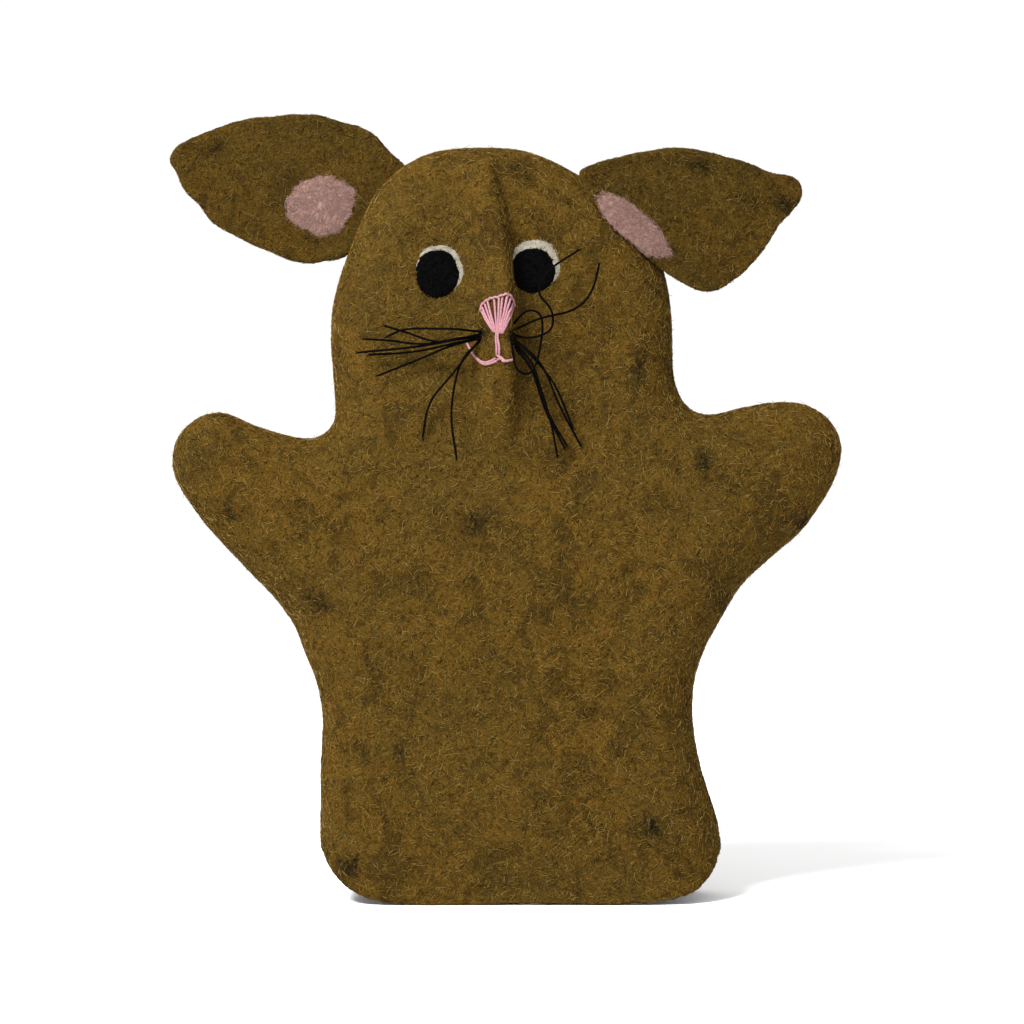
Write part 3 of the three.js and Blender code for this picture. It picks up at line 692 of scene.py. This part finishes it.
def floss_look(name, colour, roughness, specular):
    """Twisted cotton: fine lengthwise streaks of a slightly lighter and darker tone."""
    look = Look(name, roughness, specular=specular)
    streaks = look.noise(2.6, 3, 0.6, 0.6)
    low, high = [tuple(min(1, c * k) for c in colour) for k in (0.6, 1.25)]
    look.colour(look.mix(look.ramp(streaks, (0.35, 0.0), (0.65, 1.0)), low, high))
    look.bump(streaks, 0.08, 0.6)
    return look.material


def plain_look(name, colour, roughness=0.95):
    look = Look(name, roughness, specular=0.02)
    look.shader.inputs["Base Color"].default_value = (*colour, 1)
    return look.material


def add_flecks(obj):
    """Writes how much dark wool there is at each point of a felt piece."""
    p = points_of(obj)
    warp = np.column_stack([Lumps(5, 21).at(p), Lumps(5, 22).at(p)]) * 1.6
    warp += np.column_stack([Lumps(1.7, 23).at(p), Lumps(1.7, 24).at(p)]) * 0.8
    attribute = obj.data.attributes.new("fleck", "FLOAT", "POINT")
    attribute.data.foreach_set("value", fleck_at(p, warp).astype(np.float32))


def fleck_at(p, warp=0.0):
    """How much dark wool there is at each point: set places on the face side, chance ones on the back."""
    total = np.zeros(len(p))
    flat = p[:, [0, 2]] + warp
    front = (p[:, 1] < FACE_SIDE).astype(float)
    for x, z, wide, tall, slant, strength in FLECKS:
        turn = math.radians(slant)
        off = flat - [x, z]
        u = off[:, 0] * math.cos(turn) + off[:, 1] * math.sin(turn)
        v = -off[:, 0] * math.sin(turn) + off[:, 1] * math.cos(turn)
        total = np.maximum(total, strength * np.exp(-((u / wide) ** 2 + (v / tall) ** 2) / 1.3))
    back = 0.9 * np.clip(Lumps(24, 31).at(p) * 2.2 - 1.15, 0, 1)
    return total * front + back * (1 - front)


# ---- Laying things on a surface ----
class Surface:
    """A shown surface to lay things on, in millimetres."""

    def __init__(self, objects, keep=None):
        points, tris, offset = [], [], 0
        for obj in objects:
            p = points_of(obj)
            t = faces_of(obj.data)
            if keep is not None:
                t = t[keep(p[t].mean(1))]
            points.append(p)
            tris.append(t + offset)
            offset += len(p)
        self.points, self.tris = np.vstack(points), np.vstack(tris)
        self.tree = BVHTree.FromPolygons(self.points.tolist(), self.tris.tolist())
        a, b, c = (self.points[self.tris[:, k]] for k in (0, 1, 2))
        cross = np.cross(b - a, c - a)
        self.area = np.linalg.norm(cross, axis=1) / 2
        self.normal = cross / np.maximum(2 * self.area[:, None], 1e-12)

    def scatter(self, count, rng):
        """Random points over the surface and their normals."""
        pick = rng.choice(len(self.tris), count, p=self.area / self.area.sum())
        u, v = rng.random((2, count))
        flip = u + v > 1
        u[flip], v[flip] = 1 - u[flip], 1 - v[flip]
        a, b, c = (self.points[self.tris[pick, k]] for k in (0, 1, 2))
        return a + u[:, None] * (b - a) + v[:, None] * (c - a), self.normal[pick]

    def front(self, x, z):
        """The surface's y and normal as met from the front at x, z."""
        place, normal, _, _ = self.tree.ray_cast(Vector((x, -100, z)), Vector((0, 1, 0)))
        return (place[1], np.array(normal)) if place is not None else (0.0, np.array([0, -1.0, 0]))

    def settle(self, points):
        """The nearest points of the surface and the normals there."""
        found = [self.tree.find_nearest(Vector(p)) for p in points.reshape(-1, 3)]
        places = np.array([f[0] for f in found]).reshape(points.shape)
        normals = np.array([f[1] for f in found]).reshape(points.shape)
        return places, normals

    def over(self, line, lift, per_span=6):
        """A smooth line of x, z points as a path on the front of the surface, held off it by lift."""
        path = []
        for x, z in spline(line, per_span):
            y, normal = self.front(x, z)
            path.append(np.array([x, y, z]) + normal * lift)
        return np.array(path)


# ---- Loose wool ----
# Each tone's colour and its share of the fibres.
FIBRE_TONES = {
    "straw": ((0.23, 0.148, 0.041), 0.13),
    "tan": ((0.14, 0.084, 0.016), 0.27),
    "ochre": ((0.094, 0.052, 0.0075), 0.27),
    "rust": ((0.075, 0.031, 0.004), 0.13),
    "umber": ((0.011, 0.0075, 0.002), 0.20),
}
PINK_TONES = {"blush": ((0.23, 0.15, 0.13), 0.5), "rose": ((0.18, 0.1, 0.087), 0.5)}
FIBRE_STEPS = 3
GROUND_CLEAR = 0.1  # fibres keep this far above the ground


def tapered_tubes(paths, ups, radius):
    """Three-sided closed tubes along paths, pointed at both ends: their points and faces."""
    count, rings = paths.shape[0], paths.shape[1] - 2
    along = np.gradient(paths, axis=1)[:, 1:-1]
    side = np.cross(along, ups[:, 1:-1])
    side /= np.maximum(np.linalg.norm(side, axis=2, keepdims=True), 1e-9)
    up = ups[:, 1:-1]
    corners = []
    for k in range(3):
        angle = 2 * math.pi * k / 3 + math.pi / 2
        outward = side * math.cos(angle) + up * math.sin(angle)
        corners.append(paths[:, 1:-1] + outward * radius[:, None, None])
    body = np.stack(corners, axis=2).reshape(count, rings * 3, 3)
    points = np.concatenate([paths[:, :1], body, paths[:, -1:]], axis=1)
    size = rings * 3 + 2
    faces = []
    for k in range(3):
        following = (k + 1) % 3
        faces.append([0, 1 + following, 1 + k])
        for r in range(rings - 1):
            a, b = 1 + 3 * r + k, 1 + 3 * r + following
            faces += [[a, b, b + 3], [a, b + 3, a + 3]]
        last = 1 + 3 * (rings - 1)
        faces.append([last + k, last + following, size - 1])
    faces = np.array(faces)
    return points.reshape(-1, 3), (faces[None] + (np.arange(count) * size)[:, None, None]).reshape(-1, 3)


def fast_object(name, points_mm, tris, material):
    """A new object from arrays of points and triangles."""
    mesh = bpy.data.meshes.new(name)
    mesh.vertices.add(len(points_mm))
    mesh.vertices.foreach_set("co", (points_mm * MM).ravel())
    mesh.loops.add(len(tris) * 3)
    mesh.loops.foreach_set("vertex_index", tris.ravel())
    mesh.polygons.add(len(tris))
    mesh.polygons.foreach_set("loop_start", np.arange(len(tris)) * 3)
    mesh.update(calc_edges=True)
    mesh.materials.append(material)
    mesh.shade_smooth()
    obj = bpy.data.objects.new(name, mesh)
    bpy.context.scene.collection.objects.link(obj)
    return obj


def lay_fibres(
    surface, starts, normals, rng, length=(1.0, 3.0), radius=(0.035, 0.065), stray=0.03, outward=None,
):
    """Short curved hairs lying on a surface: their paths, up directions and radii."""
    count = len(starts)
    heading = rng.normal(size=(count, 3))
    if outward is not None:
        heading = heading * 0.55 + outward
    heading -= normals * (heading * normals).sum(1, keepdims=True)
    heading /= np.linalg.norm(heading, axis=1, keepdims=True)
    across = np.cross(normals, heading)
    t = np.linspace(0, 1, FIBRE_STEPS + 2)
    reach = (rng.uniform(*length, count) * rng.choice([0.7, 1, 1.3], count))[:, None] * t
    curl = rng.normal(0, 0.16, (count, 1))
    sway = curl * reach**2 + rng.normal(0, 0.12, (count, 1)) * np.sin(2 * np.pi * t)
    paths = starts[:, None] + heading[:, None] * reach[..., None] + across[:, None] * sway[..., None]
    paths, ups = surface.settle(paths)
    lift = 0.06 + rng.uniform(0.0, 0.22, (count, 1)) * np.sin(np.pi * t)[None]
    lift[:, 0] = lift[:, -1] = -0.05
    astray = rng.random((count, 1)) < stray
    lift = np.where(astray, 0.05 + rng.uniform(0.3, 1.7, (count, 1)) * t**2, lift)
    laid = paths + ups * lift[..., None]
    laid[..., 2] = np.maximum(laid[..., 2], GROUND_CLEAR)
    return laid, ups, rng.uniform(*radius, count)


def in_spot(points, centre, half, turn=0.0):
    """How far out in an elliptical spot each point is, 1 at its edge, seen from the front."""
    angle = math.radians(turn)
    off = points[:, [0, 2]] - centre
    u = (off[:, 0] * math.cos(angle) + off[:, 1] * math.sin(angle)) / half[0]
    v = (-off[:, 0] * math.sin(angle) + off[:, 1] * math.cos(angle)) / half[1]
    return np.hypot(u, v)


def fuzz(surface, density, seed, tones, looks, bare=(), zone=None):
    """Covers a felt surface with loose wool, a piece for each zone and tone, and none on the bare spots."""
    rng = np.random.default_rng(seed)
    starts, normals = surface.scatter(int(surface.area.sum() * density), rng)
    for spot in bare:
        keep = (in_spot(starts, *spot) > rng.uniform(0.9, 1.06, len(starts))) | (normals[:, 1] > 0)
        starts, normals = starts[keep], normals[keep]
    paths, ups, radii = lay_fibres(surface, starts, normals, rng)
    names = list(tones)
    tone = rng.choice(len(names), len(paths), p=[share for _, share in tones.values()])
    dark = fleck_at(paths[:, 2]) > rng.uniform(0.25, 1.2, len(paths))
    names.append("black")
    tone[dark] = len(names) - 1
    zones = zone_of(paths[:, 0]) if zone is None else np.full(len(paths), zone, object)
    for here in sorted(set(zones)):
        for index, name in enumerate(names):
            mine = (zones == here) & (tone == index)
            if mine.any():
                points, tris = tapered_tubes(paths[mine], ups[mine], radii[mine])
                obj = fast_object(f"{here}_wool_{name}", points, tris, looks[name])
                attach(obj, here)


# ---- Spots of felt: eyes and the ears' pink patches ----
def spot_piece(name, centre, half, turn, height_at, lift, look, seed, ragged=0.04, rings=22, sectors=110):
    """A soft-edged spot felted onto a surface: it stands proud by lift and sinks in at its uneven edge."""
    angle = np.linspace(0, 2 * np.pi, sectors, endpoint=False)
    around = np.column_stack([np.cos(angle), np.sin(angle), np.zeros(sectors)])
    edge = 1 + ragged * (Lumps(0.5, seed).at(around) + 0.8 * Lumps(0.16, seed + 1).at(around))
    turned = math.radians(turn)
    out = np.linspace(0, 1, rings + 1)[1:, None]
    u = half[0] * edge * np.cos(angle) * out
    v = half[1] * edge * np.sin(angle) * out
    x = (centre[0] + u * math.cos(turned) - v * math.sin(turned)).ravel()
    z = (centre[1] + u * math.sin(turned) + v * math.cos(turned)).ravel()
    y = np.array([height_at(px, pz) for px, pz in zip(x, z)])
    far = np.repeat(out.ravel(), sectors)
    front = y - lift * (1 - far**8) + 0.3 * far**8
    front -= 0.12 * Lumps(1.3, seed + 2).at(np.column_stack([x, y, z])) * (1 - far**8)
    middle = height_at(*centre)
    points = [[centre[0], middle - lift, centre[1]], *zip(x, front, z)]
    inner = len(x) - sectors
    points += [[centre[0], middle + 0.9, centre[1]], *zip(x[:inner], y[:inner] + 0.9, z[:inner])]
    back = 1 + len(x)
    first = lambda ring: 1 + ring * sectors
    behind = lambda ring: back + 1 + ring * sectors if ring < rings - 1 else first(ring)
    faces = []
    for i in range(sectors):
        j = (i + 1) % sectors
        faces.append([0, first(0) + j, first(0) + i][::-1])
        faces.append([back, behind(0) + i, behind(0) + j][::-1])
        for ring in range(rings - 1):
            a, b = first(ring), first(ring + 1)
            faces.append([a + i, b + i, b + j, a + j])
            c, d = behind(ring), behind(ring + 1)
            faces.append([c + j, d + j, d + i, c + i])
    obj = make_object(name, points, faces, [look])
    obj.data.shade_smooth()
    return obj


def spot_fuzz(
    name, spot, zone, density, seed, look, radius=(0.04, 0.08), reach=1.05, lengths=(1.2, 3), bare=None,
):
    """Loose wool over a spot of felt, some of it lying out over the spot's edge."""
    back = points_of(spot)[:, 1].max()
    surface = Surface([spot], lambda centres: centres[:, 1] < back)
    rng = np.random.default_rng(seed)
    starts, normals = surface.scatter(int(surface.area.sum() * density), rng)
    centre = starts.mean(0)
    if bare:
        keep = in_spot(starts, *bare) > 1
        starts, normals = starts[keep], normals[keep]
    outward = starts - centre
    outward /= np.abs(outward).max()
    paths, ups, radii = lay_fibres(surface, starts, normals, rng, lengths, radius, 0.04, outward * reach)
    points, tris = tapered_tubes(paths, ups, radii)
    obj = fast_object(name, points, tris, look)
    attach(obj, zone)
    return obj


# ---- Ears ----
def right_ear_middle(x, z):
    foot, normal = ear_frame("right")
    outward = (x - foot[0]) * normal[0] + (z - foot[1]) * normal[1]
    return -EAR_ROOT + np.minimum(EAR_SLANT * outward, EAR_ROOT - EAR_STAND)


def make_ear(side, look):
    inside = Inside(EARS[side]["outline"], cell=0.5, soft=1)
    flat = lambda x, z: np.full(np.shape(x), EAR_HALF)
    obj = pillow(f"{side}_ear_felt", inside, EAR_RIM, flat, EAR_CELL)
    p = points_of(obj)
    flat_p = np.column_stack([p[:, 0], np.zeros(len(p)), p[:, 2]])
    p += normals_of(obj) * (0.14 * Lumps(4, 13).at(p) + 0.09 * Lumps(1.9, 14).at(p))[:, None]
    p[:, 1] += 0.9 * Lumps(26, 41).at(flat_p) + 0.45 * Lumps(11, 42).at(flat_p)
    near_rim = np.clip(1 - inside.at(p[:, 0], p[:, 2]) / 7, 0, 1)
    p[:, 1] -= EAR_CURL * near_rim**2
    if side == "right":
        p[:, 1] += right_ear_middle(p[:, 0], p[:, 2])
    set_points(obj, p)
    apply_modifier(obj, "SMOOTH", factor=0.5, iterations=2)
    obj.data.materials.append(look)
    obj.data.shade_smooth()
    return obj


# ---- Thread and floss ----
def thread_mesh(path, radius, twist_mm, plies=2, lobe=0.16, sides=10):
    """A closed twisted thread along a path: its points and faces."""
    path = even_steps(path, radius * 1.1)
    along = np.gradient(path, axis=0)
    along /= np.linalg.norm(along, axis=1, keepdims=True)
    side = np.cross(along[0], [0, 0, 1.0])
    sides_at = []
    for direction in along:
        side = side - direction * (side @ direction)
        side = side / max(np.linalg.norm(side), 1e-9)
        sides_at.append(side)
    sides_at = np.array(sides_at)
    ups = np.cross(along, sides_at)
    run = np.concatenate([[0], np.cumsum(np.linalg.norm(np.diff(path, axis=0), axis=1))])
    angle = np.linspace(0, 2 * np.pi, sides, endpoint=False)
    r = radius * (1 + lobe * np.cos(plies * (angle[None] - 2 * np.pi * run[:, None] / twist_mm)))
    taper = np.ones(len(path))
    taper[0] = taper[-1] = 0.55
    ring = (np.cos(angle)[None, :, None] * sides_at[:, None] + np.sin(angle)[None, :, None] * ups[:, None])
    points = path[:, None] + ring * (r * taper[:, None])[..., None]
    caps = [path[:1] - along[:1] * radius * 0.3, path[-1:] + along[-1:] * radius * 0.3]
    points = np.vstack([points.reshape(-1, 3), *caps])
    faces = []
    last = (len(path) - 1) * sides
    for i in range(sides):
        j = (i + 1) % sides
        for ring_start in range(0, last, sides):
            a, b = ring_start + i, ring_start + j
            faces.append([a, b, b + sides, a + sides])
        faces += [[j, i, len(points) - 2], [last + i, last + j, len(points) - 1]]
    return points, faces


def even_steps(path, step):
    """The same path with points at even distances."""
    run = np.concatenate([[0], np.cumsum(np.linalg.norm(np.diff(path, axis=0), axis=1))])
    at = np.linspace(0, run[-1], max(4, int(run[-1] / step)))
    return np.column_stack([np.interp(at, run, path[:, k]) for k in range(3)])


def thread_piece(name, paths, radius, twist_mm, look, **shape):
    """One piece made of several threads."""
    points, faces = [], []
    for path in paths:
        p, f = thread_mesh(path, radius, twist_mm, **shape)
        offset = sum(len(q) for q in points)
        points.append(p)
        faces += [[v + offset for v in face] for face in f]
    obj = make_object(name, np.vstack(points), faces, [look])
    obj.data.shade_smooth()
    return obj


def dipping(path, depth=0.5):
    """A stitch's path, going down into the felt at both its ends."""
    path = even_steps(path, 0.3)
    t = np.linspace(0, 1, len(path))
    sink = np.clip(1 - np.minimum(t, 1 - t) * len(path) * 0.3 / 0.7, 0, 1) ** 2
    path[:, 1] += depth * sink
    return path


def embroider(surface, look):
    nose = []
    feet = np.linspace(NOSE_FOOT[0], NOSE_FOOT[1], len(NOSE_TOPS))
    for i, (top, foot) in enumerate(zip(NOSE_TOPS, feet)):
        middle = [(top[0] + foot[0]) / 2 + 0.25 * (i - 5) * 0.2, (top[1] + foot[1]) / 2]
        nose.append(dipping(surface.over([top, middle, foot], FLOSS * (0.42 + 0.16 * (i % 2)))))
    edge = surface.over(NOSE_EDGE, FLOSS * 0.75, 8)
    edge = even_steps(edge, 0.25)
    wave = np.sin(np.arange(len(edge)) * 0.25 * 2 * np.pi / 1.9)
    edge[:, 2] += 0.16 * wave
    edge[:, 1] -= 0.14 * wave
    nose.append(edge)
    sewn = lambda lines: [dipping(surface.over(line, FLOSS * 0.6)) for line in lines]
    pieces = {
        "nose_floss": (nose, "nose_stitches"),
        "philtrum_floss": (sewn(PHILTRUM), "philtrum_stitch"),
        "mouth_floss": (sewn(MOUTH), "mouth_stitch"),
    }
    for name, (paths, node) in pieces.items():
        obj = thread_piece(name, paths, FLOSS / 2, 2.6, look, plies=3, lobe=0.12, sides=12)
        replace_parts(attach(obj, "head"), node)


def whisker_path(line, lane, surface, inside):
    flat = spline(line, 14)
    rootx = flat[0, 0]
    run = np.concatenate([[0], np.cumsum(np.linalg.norm(np.diff(flat, axis=0), axis=1))])
    points = []
    for (x, z), s in zip(flat, run):
        rim = np.clip(1 - inside.at(np.array([x]), np.array([z]))[0] / RIM, 0, None)
        rounded = body_depth(x, z) * max(0.0, 1 - rim**FLATNESS) ** (1 / FLATNESS)
        above = rounded + WHISKER_RISE - WHISKER_FALL * abs(x - rootx)
        face = -surface.front(x, z)[0]
        free = smoothstep(0, 11, s)
        out = max(face, above * free + face * (1 - free)) + WHISKER_LIFT * free + lane * LANE * free
        points.append([x, -out + ROOT_DEPTH * (1 - smoothstep(0, 2.5, s)), z])
    path = even_steps(np.array(points), 0.5)
    for _ in range(SMOOTHINGS):
        path[1:-1] = (path[:-2] + 2 * path[1:-1] + path[2:]) / 4
    return path


def add_whiskers(surface, inside, look):
    rng = np.random.default_rng(8)
    for side, lines in WHISKERS.items():
        tufts = []
        for i, line in enumerate(lines):
            path = whisker_path(line, len(lines) - 1 - i, surface, inside)
            obj = thread_piece(f"{side}_whisker_{i + 1}_thread", [path], THREAD / 2, 1.7, look)
            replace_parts(attach(obj, "head"), f"{side}_whisker_{i + 1}")
            tufts.append(frayed_end(path, rng))
        paths = np.concatenate(tufts)
        ups = np.tile([0.0, -1, 0], (*paths.shape[:2], 1))
        points, tris = tapered_tubes(paths, ups, rng.uniform(0.06, 0.1, len(paths)))
        obj = fast_object(f"{side}_whisker_ends", points, tris, look)
        attach(obj, "head")


def frayed_end(path, rng, hairs=9):
    """The loose fibres at a thread's cut end."""
    end = path[-1]
    onward = path[-1] - path[-4]
    onward /= np.linalg.norm(onward)
    spread = rng.normal(0, 0.28, (hairs, 3))
    t = np.linspace(0, 1, FIBRE_STEPS + 2)[None, :, None]
    reach = rng.uniform(0.8, 1.8, (hairs, 1, 1))
    start = end - onward * 0.9 + spread[:, None] * 0.25
    return start + onward * reach * t * 1.3 + spread[:, None] * t**2 * reach * 0.9


# ---- Stage ----
CAMERA = {"look_at": (-2.6, 0, 125.1), "lens": 100, "sensor": 36, "distance": 924.4}
WORLD_LIGHT = 1.03
KEY_POWER = 60
KEY_SIZE = 0.45
KEY_PLACE = (-0.65, -0.85, 1.2)


def set_camera():
    camera = bpy.data.objects.new("camera", bpy.data.cameras.new("camera"))
    bpy.context.scene.collection.objects.link(camera)
    camera.data.lens = CAMERA["lens"]
    camera.data.sensor_width = CAMERA["sensor"]
    x, _, z = CAMERA["look_at"]
    camera.location = (x * MM, -CAMERA["distance"] * MM, z * MM)
    camera.rotation_euler = (math.pi / 2, 0, 0)
    bpy.context.scene.camera = camera


def set_stage():
    scene = bpy.context.scene
    world = bpy.data.worlds.new("world")
    world.use_nodes = True
    world.node_tree.nodes["Background"].inputs["Color"].default_value = (1, 1, 1, 1)
    world.node_tree.nodes["Background"].inputs["Strength"].default_value = WORLD_LIGHT
    scene.world = world
    scene.view_settings.view_transform = "Standard"
    bpy.ops.mesh.primitive_plane_add(size=30)
    floor = bpy.context.object
    floor.name = "floor"
    floor.data.materials.append(plain_look("floor_white", (0.98, 0.98, 0.98), 0.9))
    key = bpy.data.lights.new("key", "AREA")
    key.energy = KEY_POWER
    key.size = KEY_SIZE
    lamp = bpy.data.objects.new("key", key)
    scene.collection.objects.link(lamp)
    lamp.location = KEY_PLACE
    lamp.rotation_euler = (Vector((0, 0, 0.12)) - lamp.location).to_track_quat("-Z", "Y").to_euler()


# ---- The puppet ----
set_camera()
set_stage()
body = Inside(OUTLINE)
felt = felt_look("brown_felt", FELT)
pink_felt = felt_look("pink_felt", PINK, 0.2, dark_wool=False)
white_felt = felt_look("white_felt", WHITE, 0.25, dark_wool=False)
black_felt = felt_look("black_felt", BLACK, 0.25, dark_wool=False)
floss = floss_look("pink_floss", (0.24, 0.107, 0.121), 0.55, 0.3)
thread = floss_look("black_thread", (0.0012, 0.0012, 0.0012), 0.75, 0.01)
wool_tones = {**FIBRE_TONES, **PINK_TONES}
wool = {name: plain_look(f"{name}_wool", colour) for name, (colour, _) in wool_tones.items()}
ear_felt = felt_look("ear_felt", darker(FELT, EAR_TONE))
ear_wool = {
    name: plain_look(f"{name}_ear_wool", tuple(part * EAR_TONE for part in colour))
    for name, (colour, _) in FIBRE_TONES.items()
}
ear_wool["black"] = wool["black"] = plain_look("black_wool", FELT["black"])
wool["soot"] = plain_look("soot_wool", (0.001, 0.001, 0.001))
wool["white"] = plain_look("white_wool", (0.27, 0.25, 0.21))

skin = make_skin(body)
parts = split_skin(skin, [felt])
bpy.data.objects.remove(skin)
outer = Surface(parts.values(), lambda centres: roundness(centres, body) > 0.95)
eye_spots = [(eye["white"][:2], [h * 0.97 for h in eye["white"][2:]]) for eye in EYES.values()]
nose_spot = ([-7.2, 190], [4.6, 6])
fuzz(outer, WOOL_DENSITY, 5, FIBRE_TONES, wool, [*eye_spots, nose_spot])
for zone, piece in parts.items():
    add_flecks(piece)
    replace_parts(attach(piece, zone), f"{zone}_shell")

for side in ("left", "right"):
    ear = make_ear(side, ear_felt)
    ear_surface = Surface([ear])
    patch = EARS[side]["patch"]
    height = lambda x, z: ear_surface.front(x, z)[0]
    spot = spot_piece(
        f"{side}_ear_pink", patch["centre"], patch["half"], patch["turn"], height, 0.3, pink_felt, 51,
        ragged=0.08,
    )
    for name, seed in (("blush", 61), ("rose", 62)):
        spot_fuzz(f"{side}_ear_wool_{name}", spot, f"{side}_ear", 2.2, seed, wool[name],
                  radius=(0.035, 0.065))
    bare = (patch["centre"], [h * 0.92 for h in patch["half"]], patch["turn"])
    fuzz(ear_surface, WOOL_DENSITY, 7, FIBRE_TONES, ear_wool, [bare], f"{side}_ear")
    add_flecks(ear)
    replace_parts(attach(ear, f"{side}_ear"), f"{side}_ear")
    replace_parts(attach(spot, f"{side}_ear"), f"{side}_ear_patch")

for side, eye in EYES.items():
    under_snout = lambda z: table(SNOUT_CREST, z) + SNOUT_RIGHT if side == "right" else -1000
    height = lambda x, z: outer.front(max(x, under_snout(z)), z)[0]
    for kind, lift, look, tone, slot in (
        ("white", 0.35, white_felt, "white", "white_felt"),
        ("pupil", 0.75, black_felt, "soot", "black_felt"),
    ):
        x, z, wide, tall = eye[kind]
        name = f"{side}_eye_{kind}_felt"
        spot = spot_piece(name, (x, z), (wide, tall), 0, height, lift, look, 71, ragged=0.035)
        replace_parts(attach(spot, "head"), f"{side}_eye_white" if kind == "white" else f"{side}_pupil")
        bare = (eye["pupil"][:2], eye["pupil"][2:]) if kind == "white" else None
        spot_fuzz(
            f"{side}_eye_wool_{tone}", spot, "head", 1.8, 72, wool[tone], lengths=(0.9, 2.2), reach=0.8,
            bare=bare,
        )

embroider(outer, floss)
add_whiskers(outer, body, thread)
